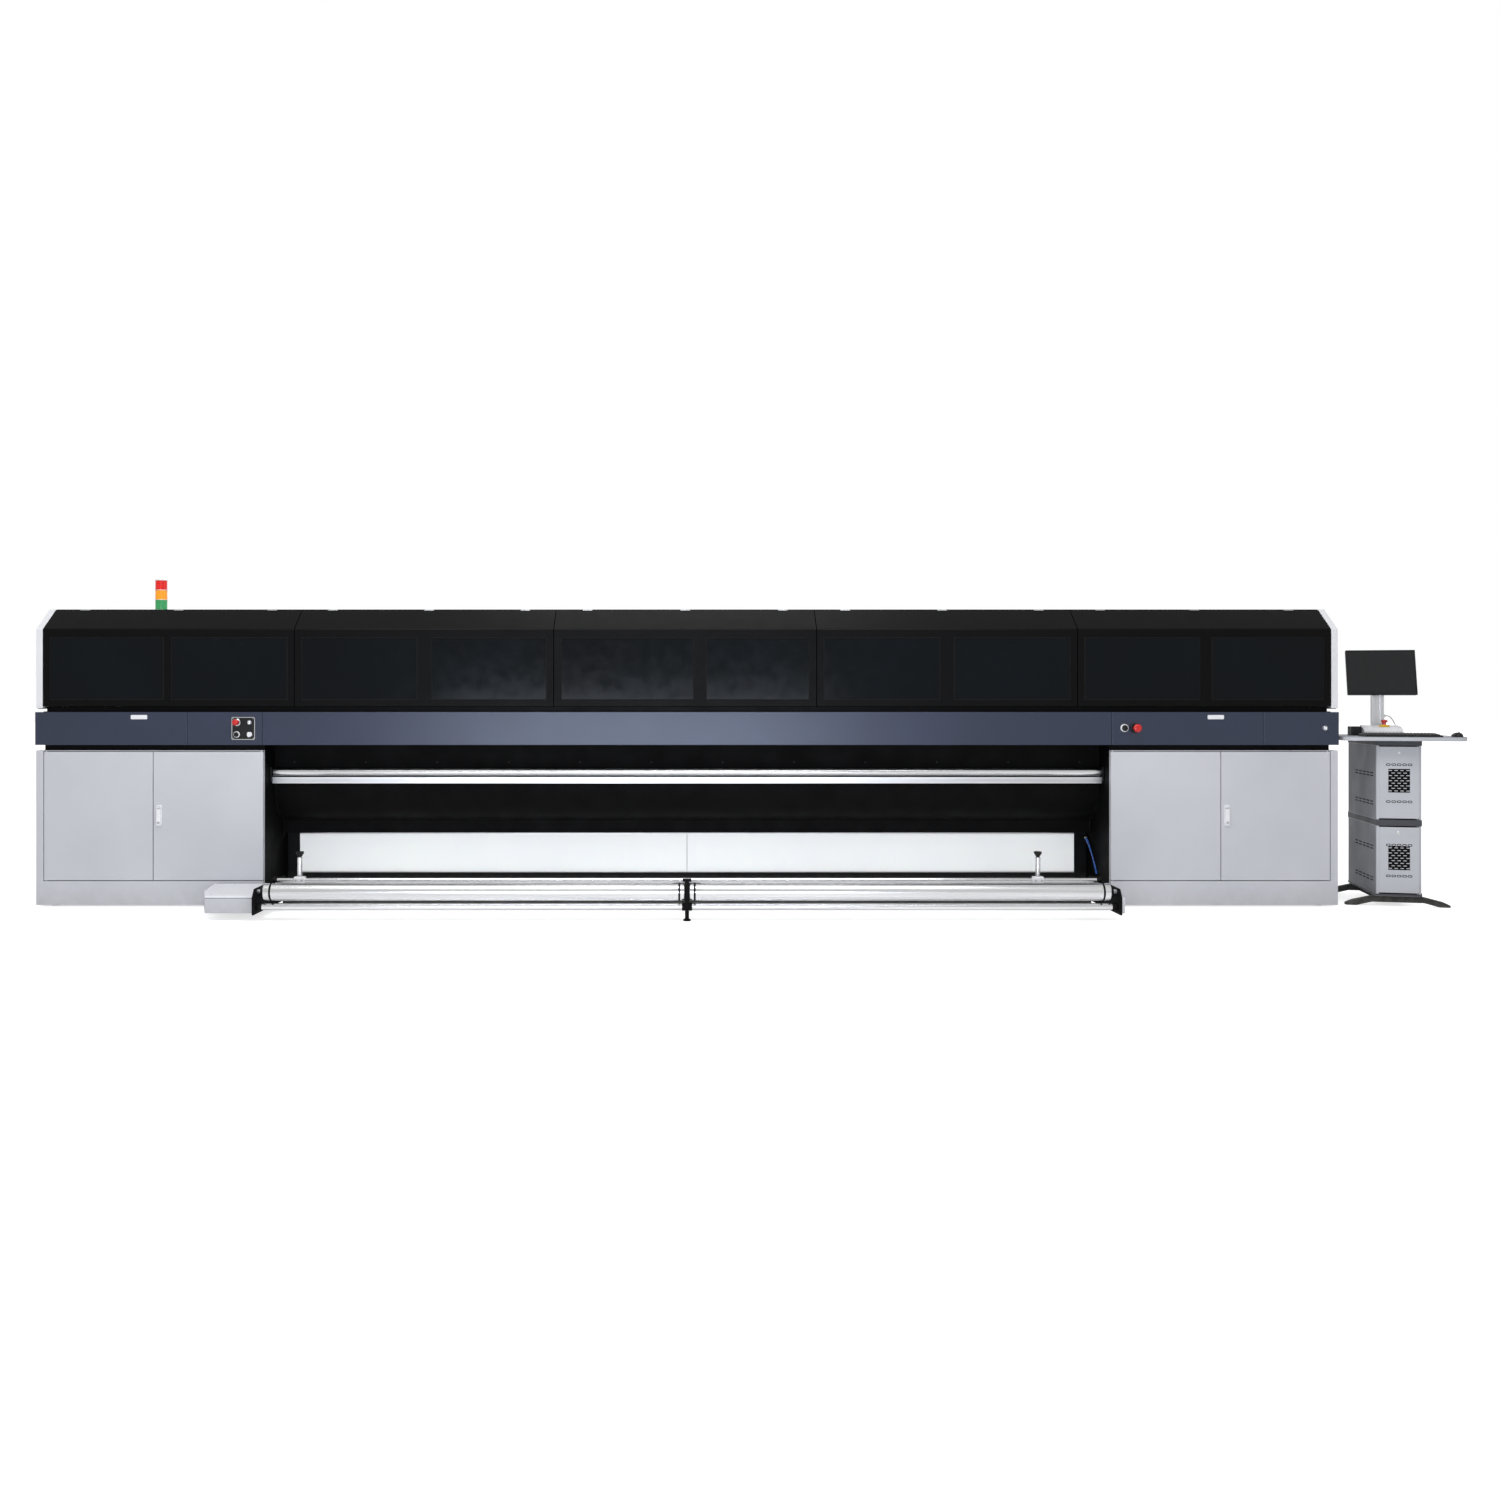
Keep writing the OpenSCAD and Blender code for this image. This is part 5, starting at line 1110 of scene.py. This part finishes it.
bm = bmesh.new()
addRod(bm, tieLine, "x", 12, halfTakeup, takeup["tie"], 1.5, 40)
addRod(bm, tieLine, "x", -halfTakeup, -12, takeup["tie"], 1.5, 40)
addRod(bm, barLine, "x", -halfTakeup, halfTakeup, takeup["bar"], 1, 32)
toObject("takeupTieTubes", bm, "steel", standsFor=["tie_tubes"], slot="polished_steel")
bm = bmesh.new()
for side in (-1, 1):
    a, b = span(side, halfTakeup, halfTakeup - 26)
    addRod(bm, tieLine, "x", a, b, takeup["tie"] + 4, 2, 40)
    addRod(bm, barLine, "x", a, b, takeup["bar"] + 5, 2, 32)
    a, b = span(side, 12, 30)
    addRod(bm, tieLine, "x", a, b, takeup["tie"] + 4, 2, 40)
toObject("tieTubeCollars", bm, "seal")


# An expanding shaft: the barrel, three grip strips let into it, its collar and journals
def takeupShaft(node, side):
    inner, outer = 17, halfTakeup - 42

    def sleeve(bm, start, end, radius, chamfer, steps):
        addRod(bm, (0, takeupY, takeupZ), "x", *span(side, start, end), radius, chamfer, steps)

    name = "takeupShaft" + ("Left" if side < 0 else "Right")
    bm = bmesh.new()
    sleeve(bm, inner, outer, 51, 2, 72)
    toObject(name, bm, "steel", node, standsFor=[node], slot="polished_steel")
    ends = bmesh.new()
    sleeve(ends, 1, inner + 2, 15, 1, 32)
    sleeve(ends, outer - 2, halfTakeup + 11, 15, 1, 32)
    toObject(name + "Journals", ends, "zinc", node)
    collars = bmesh.new()
    sleeve(collars, outer - 1, outer + 18, 39, 3, 48)
    sleeve(collars, outer - 46, outer - 34, 51.6, 0.6, 72)
    sleeve(collars, inner + 22, inner + 34, 51.6, 0.6, 72)
    toObject(name + "Collars", collars, "seal", node)
    strips = bmesh.new()
    for k in range(6):
        a = math.radians(60 * k)
        spot = Matrix.Translation((0, takeupY, takeupZ)) @ Matrix.Rotation(a, 4, "X")
        strip = bmesh.new()
        addPrism(strip, [(-5, 50.4), (5, 50.4), (4, 51.8), (-4, 51.8)], "x", *span(side, inner + 60, outer - 60))
        strip.transform(spot)
        held = bpy.data.meshes.new("strip")
        strip.to_mesh(held)
        strip.free()
        strips.from_mesh(held)
        bpy.data.meshes.remove(held)
    toObject(name + "GripStrips", strips, "aluminium", node)


takeupShaft("takeup_shaft_left", -1)
takeupShaft("takeup_shaft_right", 1)

# Centre support: a narrow neck over a knuckle, a tapered foot and an arm to the rear tube
h = 12  # half its thickness
bm = bmesh.new()
addPrism(bm, [(takeupY - 30, 60), (takeupY - 14, 12), (takeupY + 26, 12), (takeupY + 60, 60),
              (takeupY + 60, takeupZ - 20), (takeupY + 40, takeupZ + 34), (takeupY + 22, takeupZ + 60),
              (takeupY - 12, takeupZ + 60), (takeupY - 30, takeupZ + 30), (takeupY - 34, takeupZ)], "x", -h, h)
toObject("centreSupportPlate", bm, "dark", bevel=2.5, segments=3, standsFor=["centre_support"],
         slot="black_enamel")
bm = bmesh.new()
addPrism(bm, roundedOutline(takeupY + 42, 62, -60, 90, 3), "x", -h + 2, h - 2)
toObject("centreSupportArm", bm, "frame", slot="black_enamel")
bm = bmesh.new()
addLathe(bm, (0, takeupY + 8, 0), "z", [(0, 20), (2, 22), (9, 22), (12, 16), (14, 12), (14, 0)], 32)
addPrism(bm, roundedOutline(-26, takeupY - 14, 26, takeupY + 34, 6), "z", takeupZ + 60, takeupZ + 72)
addRod(bm, (0, takeupY - 4, takeupZ), "x", -15, 15, 26, 2, 40)
toObject("centreSupportFittings", bm, "dark", bevel=0.8, slot="black_enamel")

# Drive box at the left, end cover at the right
coverLow, coverHigh = cad("takeup_covers")
drive = {"x0": coverLow.x, "x1": -halfTakeup - takeup["plate"], "z0": coverLow.z, "z1": coverHigh.z, "lid": 16}
footprint = [(drive["x0"] + 127, takeupY), (drive["x1"], takeupY), (drive["x1"], -21), (drive["x0"], -21),
             (drive["x0"] + 53, takeupY * 0.64)]
inner = [(x + (2 if x < -2700 else -2), y + (2 if y < -200 else -2)) for x, y in footprint]
bm = bmesh.new()
addPrism(bm, footprint, "z", drive["z0"], drive["z1"] - drive["lid"])
toObject("driveBoxBody", bm, "cabinet", bevel=3, segments=3, standsFor=["takeup_covers"],
         slot="end_panel_enamel")
bm = bmesh.new()
addPrism(bm, inner, "z", drive["z1"] - drive["lid"] - 1, drive["z1"] - drive["lid"] + 2)
toObject("driveBoxSeal", bm, "seal")
bm = bmesh.new()
addPrism(bm, footprint, "z", drive["z1"] - drive["lid"] + 1.5, drive["z1"])
toObject("driveBoxLid", bm, "cover", bevel=4, segments=3, slot="end_panel_enamel")
screws("driveLidScrews", (drive["x0"] + 150, takeupY + 40, drive["z1"] + 0.4), 2,
       (drive["x1"] - drive["x0"] - 180, 0, 0), "z", 2, (0, 390, 0), 4)
right0 = halfTakeup + takeup["plate"]
bm = box((right0, takeupY - 10, drive["z0"]), (coverHigh.x, -21, 139))
toObject("rightEndCover", bm, "cover", bevel=4, segments=3, slot="end_panel_enamel")
screws("rightCoverScrews", (coverHigh.x + 0.5, takeupY + 40, 70), 2, (0, 400, 0), "x", 2, (0, 0, 44), 4)


# A split clamp on the bar, its pinch screw, the upright and the clamping knob
def edgeGuide(node):
    low, high = cad(node)
    x, name = (low.x + high.x) / 2, "edgeGuide" + node.split("_")[2].title()
    bm = bmesh.new()
    y, z = takeup["barY"], takeup["barZ"]
    addPrism(bm, roundedOutline(y - 24, z - 22, y + 24, z + 22, 6), "x", x - 30, x + 30)
    addRod(bm, barLine, "x", x - 33, x + 33, takeup["bar"] + 4, 1, 32)
    toObject(name + "Clamp", bm, "white", node, 1.2, 2, [node], "handle_white")
    bm = bmesh.new()
    addLathe(bm, (x, y, 0), "z", [(221, 17), (228, 17), (230, 15), (338, 15), (340, 9), (340, 0)], 40)
    toObject(name + "Post", bm, "steel", node, slot="polished_steel")
    bm = bmesh.new()
    knurl = [(339, 8), (342, 10), (362, 22), (365, 24), (367, 23.2), (369, 24), (371, 23.2), (373, 24), (374, 22),
             (374, 0)]
    addLathe(bm, (x, y, 0), "z", [(339, 0)] + knurl, 36)
    toObject(name + "Knob", bm, "black", node)
    screws(name + "PinchScrews", (x - 18, y - 24.6, z), 2, (36, 0, 0), "y", 1, (0, 0, 1), 5, "zinc", node)


edgeGuide("edge_guide_left")
edgeGuide("edge_guide_right")

# Air hoses from the right cabinet's valve
hose = {"radius": 4, "top": Vector((halfAperture - 70, 300, 400))}
bm = bmesh.new()
for k in (0, 1):
    points = [hose["top"] + Vector((65 * t + 14 * k * (1 - t), -40 * t + 18 * k,
                                    -230 * t + 25 * math.sin(math.pi * t))) for t in [i / 24 for i in range(25)]]
    addTube(bm, points, hose["radius"], 14)
toObject("airHoses", bm, "hose", standsFor=["air_hoses"], slot="hose_blue")
bm = bmesh.new()
for k in (0, 1):
    x, y = hose["top"].x + 14 * k, hose["top"].y + 18 * k
    addLathe(bm, (x, y, 0), "z", [(396, 0), (396, 5), (402, 6.5), (404, 6.5), (404, 0)], 20)
toObject("airHoseFittings", bm, "zinc")
print("take-up done")


# Unwind unit at the back
unwindLow, unwindHigh = cad("unwind_shaft")
unwind = {"y": (unwindLow.y + unwindHigh.y) / 2, "z": (unwindLow.z + unwindHigh.z) / 2, "half": halfAperture - 30,
          "plate": 20}
uy, uz = unwind["y"], unwind["z"]
bm = bmesh.new()
for side in (-1, 1):
    x0, x1 = span(side, unwind["half"], unwind["half"] + unwind["plate"])
    rounded = [(uy + 110 * math.cos(math.radians(a)), uz + 110 * math.sin(math.radians(a)))
               for a in range(-60, 121, 10)]
    addPrism(bm, [(bodyDepth, 180), (uy + 20, 180)] + rounded + [(bodyDepth, uz + 160)], "x", x0, x1)
    a, b = span(side, unwind["half"], halfAperture + 120)
    addBox(bm, (a, bodyDepth, 180), (b, bodyDepth + 10, uz + 160))
toObject("unwindArms", bm, "frame", bevel=3, segments=3, standsFor=["unwind_frame"], slot="black_enamel")
bm = bmesh.new()
addPrism(bm, roundedOutline(bodyDepth + 30, 185, bodyDepth + 90, 245, 6), "x", -unwind["half"] - 1,
         unwind["half"] + 1)
toObject("unwindTieBeam", bm, "frame", slot="black_enamel")
bm = bmesh.new()
for side in (-1, 1):
    a, b = span(side, unwind["half"] - 4, unwind["half"] - 90)
    addRod(bm, (0, uy, uz), "x", a, b, 56, 4, 48)
toObject("unwindChucks", bm, "black", "unwind_shaft")
for label, side in (("Left", -1), ("Right", 1)):
    screws("unwindScrews" + label, (side * (halfAperture + 60) - 30, bodyDepth + 10.6, 230), 2, (60, 0, 0), "y", 3,
           (0, 0, 150), 7)
    screws("unwindBearingScrews" + label, (side * (unwind["half"] + unwind["plate"] + 0.8), uy - 45, uz - 45), 2,
           (0, 90, 0), "x", 2, (0, 0, 90), 7)
print("unwind done")


# Console
console = {"width": 260, "depth": 600, "foot": 66, "wall": 14, "split": 525, "band": 37, "tableThickness": 25}
tableTop = lead["tableTop"]
cabTop = tableTop - console["tableThickness"]
bandZ = console["split"] - console["band"] / 2
midU = console["width"] / 2
onConsole = {"axes": consoleAxes}

bm = bmesh.new()
for v in (40, console["depth"] - 60):
    outline = [(midU - 300, 0), (midU - 300, 14), (midU - 262, 32), (midU - 135, foot["inset"] - 26),
               (midU - 130, 66), (midU + 130, 66), (midU + 135, 64), (midU + 262, 32), (midU + 300, 14),
               (midU + 300, 0), (midU + 240, 0), (midU + 150, 24), (midU - 150, 24), (midU - 240, 0)]
    addPrism(bm, outline, "y", v - 22, v + 22)
for u in (midU - 90, midU + 50):
    addBox(bm, (u, 62, 26), (u + 40, console["depth"] - 80, 65))
toObject("consoleFeet", bm, "frame", bevel=3, segments=3, standsFor=["console_base"], slot="black_enamel",
         **onConsole)
bm = bmesh.new()
for v in (40, console["depth"] - 60):
    for u in (midU - 270, midU + 270):
        addLathe(bm, (u, v, 0), "z", [(0, 17), (1, 19), (7, 19), (9, 14), (9, 0)], 24)
toObject("consoleFootPads", bm, "seal", **onConsole)

# The cabinet: bands, side skins, vents and a back panel around the two bays
finishNode("console_cabinet", "console")
bm = bmesh.new()
for z0, z1 in ((bandZ - 1, bandZ + console["band"] + 1), (cabTop - 32, cabTop - 1),
               (console["foot"] + 1, console["foot"] + 13)):
    addPrism(bm, roundedOutline(-0.8, z0, console["width"] + 0.8, z1, 4), "y", -1.2, console["depth"] + 0.8)
toObject("consoleBands", bm, "charcoal", bevel=1, slot="black_enamel", **onConsole)
# The side skins take the darker grey: painted shade on the console's side faces
bm = bmesh.new()
for z0, z1 in ((console["foot"] + 14, bandZ - 2), (bandZ + console["band"] + 2, cabTop - 33)):
    for u in (-0.6, console["width"]):
        addBox(bm, (u, 12, z0), (u + 0.6, console["depth"] - 12, z1))
toObject("consoleSideSkinsPaintedShade", bm, "consoleSidePaintedShade", slot="console_enamel", **onConsole)
for side, u in (("Left", -0.6), ("Right", console["width"] + 0.6)):
    for k, rise in enumerate((290, 110, -170, -370)):
        repeated("consoleSideVents" + side + str(k), "bar", "dark", axes=consoleAxes, Columns=5, Rows=2,
                 Start=(u, 90, console["split"] + rise),
                 Width=1.4, Height=7, Depth=56, ColumnStep=(0, 78, 0), RowStep=(0, 0, 18))
bm = box((20, console["depth"] - 0.5, 90), (console["width"] - 20, console["depth"] + 1.6, cabTop - 24))
toObject("consoleBackPanel", bm, "console", bevel=0.7, slot="console_enamel", **onConsole)
screws("consoleBackScrews", (32, console["depth"] + 2.2, 110), 2, (console["width"] - 64, 0, 0), "y", 4,
       (0, 0, 285), 4, axes=consoleAxes)
repeated("consoleBackVents", "bar", "dark", axes=consoleAxes, Rows=12, Start=(midU, console["depth"] + 2, 640),
         Width=150, Height=6, Depth=1.4, RowStep=(0, 0, 16))


def ovalPlate(bm, u, z, wide, high, v0, v1):
    addPrism(bm, roundedOutline(u - wide / 2, z - high / 2, u + wide / 2, z + high / 2, high / 2 - 0.01, 4), "y",
             v0, v1)


# A pressed door with a vent grid, two rows of oval slots and a cam lock
def consoleDoor(node, z0, z1):
    a, b = console["wall"] + 1, console["width"] - console["wall"] - 1
    name = "console" + node.split("_")[1].title() + "Door"
    bm = bmesh.new()
    addTray(bm, (a, 0, z0), (b, 16, z1), 6, 2)
    for z in ((z0 - 8, z0 + 1), (z1 - 1, z1 + 8)):
        addRod(bm, (b - 9, 3, 0), "z", z[0], z[1], 2.5, 0.4, 16)
    toObject(name, bm, "console", node, 1.6, 3, [node], "console_enamel", **onConsole)
    slots, rims = bmesh.new(), bmesh.new()
    middle = (z0 + z1) / 2 + 12
    for u, z in [(midU + k * 31, z) for z in (z1 - 112, z0 + 105) for k in range(-2, 3)]:
        ovalPlate(slots, u, z, 27, 15, -0.3, 1.2)
        ovalPlate(rims, u, z, 18, 7, -0.5, 1.4)
    addBox(slots, (midU - 62, -0.3, middle - 74), (midU + 62, 1.2, middle + 74))
    for row in range(-4, 5):
        for k in (-1, 0, 1) if row % 2 else (-1.5, -0.5, 0.5, 1.5):
            ovalPlate(rims, midU + k * 34, middle + row * 16, 20, 5, -0.5, 1.4)
    toObject(name + "VentRims", rims, "console", node, 0.3, 1, **onConsole)
    toObject(name + "Vents", slots, "dark", node, **onConsole)
    lock = bmesh.new()
    addLathe(lock, (midU, 0, z1 - 36), "y", [(2, 10), (-2.2, 10), (-3, 9), (-3, 6.4), (-1.4, 6), (-1.4, 0)], 32)
    addBox(lock, (midU - 0.8, -1.6, z1 - 40), (midU + 0.8, -1.3, z1 - 32))
    toObject(name + "Lock", lock, "steel", node, slot="polished_steel", **onConsole)


consoleDoor("console_upper_door", bandZ + console["band"] + 9, cabTop - 39)
consoleDoor("console_lower_door", console["foot"] + 21, bandZ - 9)

# Tabletop with round corners: a laminate face over a core
table = {"u0": -215, "v0": -100, "wide": 720, "deep": 600, "corner": 80}
bm = bmesh.new()
addPrism(bm, roundedOutline(table["u0"], table["v0"], table["u0"] + table["wide"], table["v0"] + table["deep"],
                            table["corner"], 12), "z", tableTop - 2.5, tableTop)
toObject("tabletopLaminate", bm, "laminate", bevel=1, standsFor=["console_top"], slot="desk_laminate",
         **onConsole)
bm = bmesh.new()
addPrism(bm, roundedOutline(table["u0"] + 0.6, table["v0"] + 0.6, table["u0"] + table["wide"] - 0.6,
                            table["v0"] + table["deep"] - 0.6, table["corner"], 12), "z", cabTop, tableTop - 2.4)
toObject("tabletopCore", bm, "console", bevel=3, segments=3, slot="desk_laminate", **onConsole)

# Monitor post: foot plate, column with two grooves, cable clip and fork
axisU, axisV, axisZ = 130, 386, tableTop + 400
post = {"u": 126, "v": 415, "top": axisZ + 30}
bm = bmesh.new()
addPrism(bm, roundedOutline(post["u"] - 75, post["v"] - 60, post["u"] + 75, post["v"] + 60, 10), "z", tableTop,
         tableTop + 8)
u, v = post["u"], post["v"]
column = [(u - 36, v - 18), (u - 14, v - 18), (u - 12, v - 15), (u + 12, v - 15), (u + 14, v - 18),
          (u + 36, v - 18), (u + 36, v + 18), (u + 14, v + 18), (u + 12, v + 15), (u - 12, v + 15),
          (u - 14, v + 18), (u - 36, v + 18)]
addPrism(bm, column, "z", tableTop + 8, post["top"])
addBox(bm, (u + 35, v - 12, tableTop + 116), (u + 46, v + 4, tableTop + 134))
toObject("monitorPost", bm, "aluminium", bevel=1.5, standsFor=["monitor_post"], slot="anodised_aluminium",
         **onConsole)
bm = bmesh.new()
for a in (axisU - 40, axisU + 28):
    addRod(bm, (0, axisV, axisZ), "x", a, a + 12, 11, 1, 32)
    addBox(bm, (a, axisV, axisZ - 9), (a + 12, v - 16, axisZ + 9))
toObject("monitorFork", bm, "zinc", bevel=1, **onConsole)
bm = bmesh.new()
addPrism(bm, roundedOutline(u - 37, v - 19, u + 37, v + 19, 4), "z", post["top"] - 3, post["top"])
toObject("monitorPostCap", bm, "black", bevel=1, **onConsole)

# Monitor: bezel, screen, back housing and pivot
lean = math.radians(11)
monitorAxes = consoleAxes @ Matrix.Translation((axisU, axisV, axisZ)) @ Matrix.Rotation(-lean, 4, "X")
screen = {"wide": 415, "high": 298, "side": 11, "chin": 20, "back": -24, "front": -46}
w, hgt = screen["wide"] / 2, screen["high"] / 2
bm = bmesh.new()
xs = [-w, -w + screen["side"], w - screen["side"], w]
zs = [-hgt, -hgt + screen["chin"], hgt - screen["side"], hgt]
addFrame(bm, xs, zs, [(1, 1)], screen["front"], -40)
addPrism(bm, roundedOutline(-w, -hgt, w, hgt, 6), "y", -40.2, screen["back"])
toObject("monitorBezel", bm, "black", "monitor", 1.6, 3, ["monitor"], "device_black", axes=monitorAxes)
bm = box((-w + screen["side"] - 1, -44, -hgt + screen["chin"] - 1),
         (w - screen["side"] + 1, -40, hgt - screen["side"] + 1))
toObject("monitorScreen", bm, "screen", "monitor", 0.5, axes=monitorAxes)
bm = bmesh.new()
addPrism(bm, roundedOutline(-120, -90, 120, 90, 14), "y", -25, -16)
addPrism(bm, roundedOutline(-27.5, -18, 27.5, 18, 4), "y", -17, -4)
addPrism(bm, [(-27.5, -9), (27.5, -9), (27.5, 9), (-27.5, 9)], "y", -5, 0)
toObject("monitorBackHousing", bm, "black", "monitor", 2, 3, axes=monitorAxes)
bm = bmesh.new()
addRod(bm, (0, 0, 0), "x", -27.5, 27.5, 9, 1, 32)
addRod(bm, (0, 0, 0), "x", -39, 39, 5, 0.6, 24)
toObject("monitorTiltPin", bm, "zinc", "monitor", axes=monitorAxes)
repeated("monitorBackVents", "bar", "dark", "monitor", monitorAxes, Columns=14, Rows=2, Start=(-143, -23.4, 100),
         Width=14, Height=4, Depth=1.4, ColumnStep=(22, 0, 0), RowStep=(0, 0, 12))
bm = bmesh.new()
for k in range(5):
    addRod(bm, (w - 90 + 16 * k, 0, -hgt + 9), "y", -47, -44, 2.6, 0.5, 16)
toObject("monitorButtons", bm, "charcoal", "monitor", axes=monitorAxes)

# Stop box on the table: white housing, yellow disc and red button; the dark junction box beside it
bm = bmesh.new()
t = tableTop
addPrism(bm, [(160, t), (262, t), (262, t + 66), (184, t + 52), (160, t + 30)], "x", post["u"] - 150,
         post["u"] + 80)
toObject("stopBoxHousing", bm, "white", bevel=3, segments=3, standsFor=["stop_box"], slot="handle_white",
         **onConsole)
bm = box((post["u"] - 215, 200, t), (post["u"] - 155, 290, t + 58))
toObject("junctionBox", bm, "black", bevel=4, segments=3, slot="device_black", **onConsole)
stopU, stopV = post["u"] - 15, 225
bm = bmesh.new()
addLathe(bm, (stopU, stopV, 0), "z", [(t + 44, 13), (t + 62, 31), (t + 66, 32), (t + 68, 31), (t + 69, 26),
                                      (t + 69, 13)], 48)
toObject("stopBoxDisc", bm, "yellow", **onConsole)
bm = bmesh.new()
addLathe(bm, (stopU, stopV, 0), "z", [(t + 28, 0), (t + 28, 11), (t + 84, 11), (t + 86, 17), (t + 90, 20),
                                      (t + 94, 20), (t + 98, 17), (t + 101, 11), (t + 102, 5), (t + 102, 0)], 48)
toObject("consoleStopButton", bm, "red", "console_stop_button", standsFor=["console_stop_button"],
         slot="stop_red", angle=34, **onConsole)
screws("stopBoxScrews", (post["u"] - 142, 200, t + 57.6), 2, (214, 0, 0), "z", 2, (0, 52, 9), 3, axes=consoleAxes)

# Keyboard with its keys, and the mouse
board = {"u0": midU - 218, "v0": -88, "wide": 440, "back": 140, "rise": 11, "pitch": 19}
bm = bmesh.new()
addPrism(bm, [(board["v0"], t), (board["v0"], t + 9), (board["v0"] + board["back"], t + 9 + board["rise"]),
              (board["v0"] + board["back"] + 6, t + 12), (board["v0"] + board["back"] + 6, t)], "x", board["u0"],
         board["u0"] + board["wide"])
toObject("keyboardBody", bm, "black", bevel=1.8, segments=3, standsFor=["keyboard_and_mouse"],
         slot="device_black", **onConsole)
slope = math.atan2(board["rise"], board["back"])
keyAxes = consoleAxes @ Matrix.Translation((board["u0"], board["v0"], t + 9)) @ Matrix.Rotation(slope, 4, "X")
for label, columns, start in (("Main", 15, 18), ("Arrows", 3, 316), ("Numbers", 3, 382)):
    repeated("keyboardKeys" + label, "key", "keys", axes=keyAxes, Columns=columns, Rows=5, Start=(start, 20, 1.2),
             Width=17.5, Depth=4.2, ColumnStep=(board["pitch"], 0, 0), RowStep=(0, board["pitch"], 0))
repeated("keyboardFunctionKeys", "key", "keys", axes=keyAxes, Columns=21, Start=(18, 124, 1), Width=14, Depth=3.4,
         ColumnStep=(board["pitch"] + 1, 0, 0))
bm = bmesh.new()
bmesh.ops.create_uvsphere(bm, u_segments=32, v_segments=20, radius=1)
for vert in bm.verts:
    u, v, z = vert.co
    high = 27 * (1 - 0.25 * v) if z > 0 else 3
    vert.co = Vector((457 + 29 * math.copysign(abs(u) ** 0.86, u), -6 + 52 * math.copysign(abs(v) ** 0.9, v),
                      t + 3 + (high - 3) * max(z, 0) + 3 * min(z, 0)))
toObject("mouseShell", bm, "black", angle=60, **onConsole)
bm = bmesh.new()
addRod(bm, (457, -36, t + 24), "x", -3, 3, 8, 1.5, 24)
toObject("mouseWheel", bm, "charcoal", **onConsole)
print("console done")
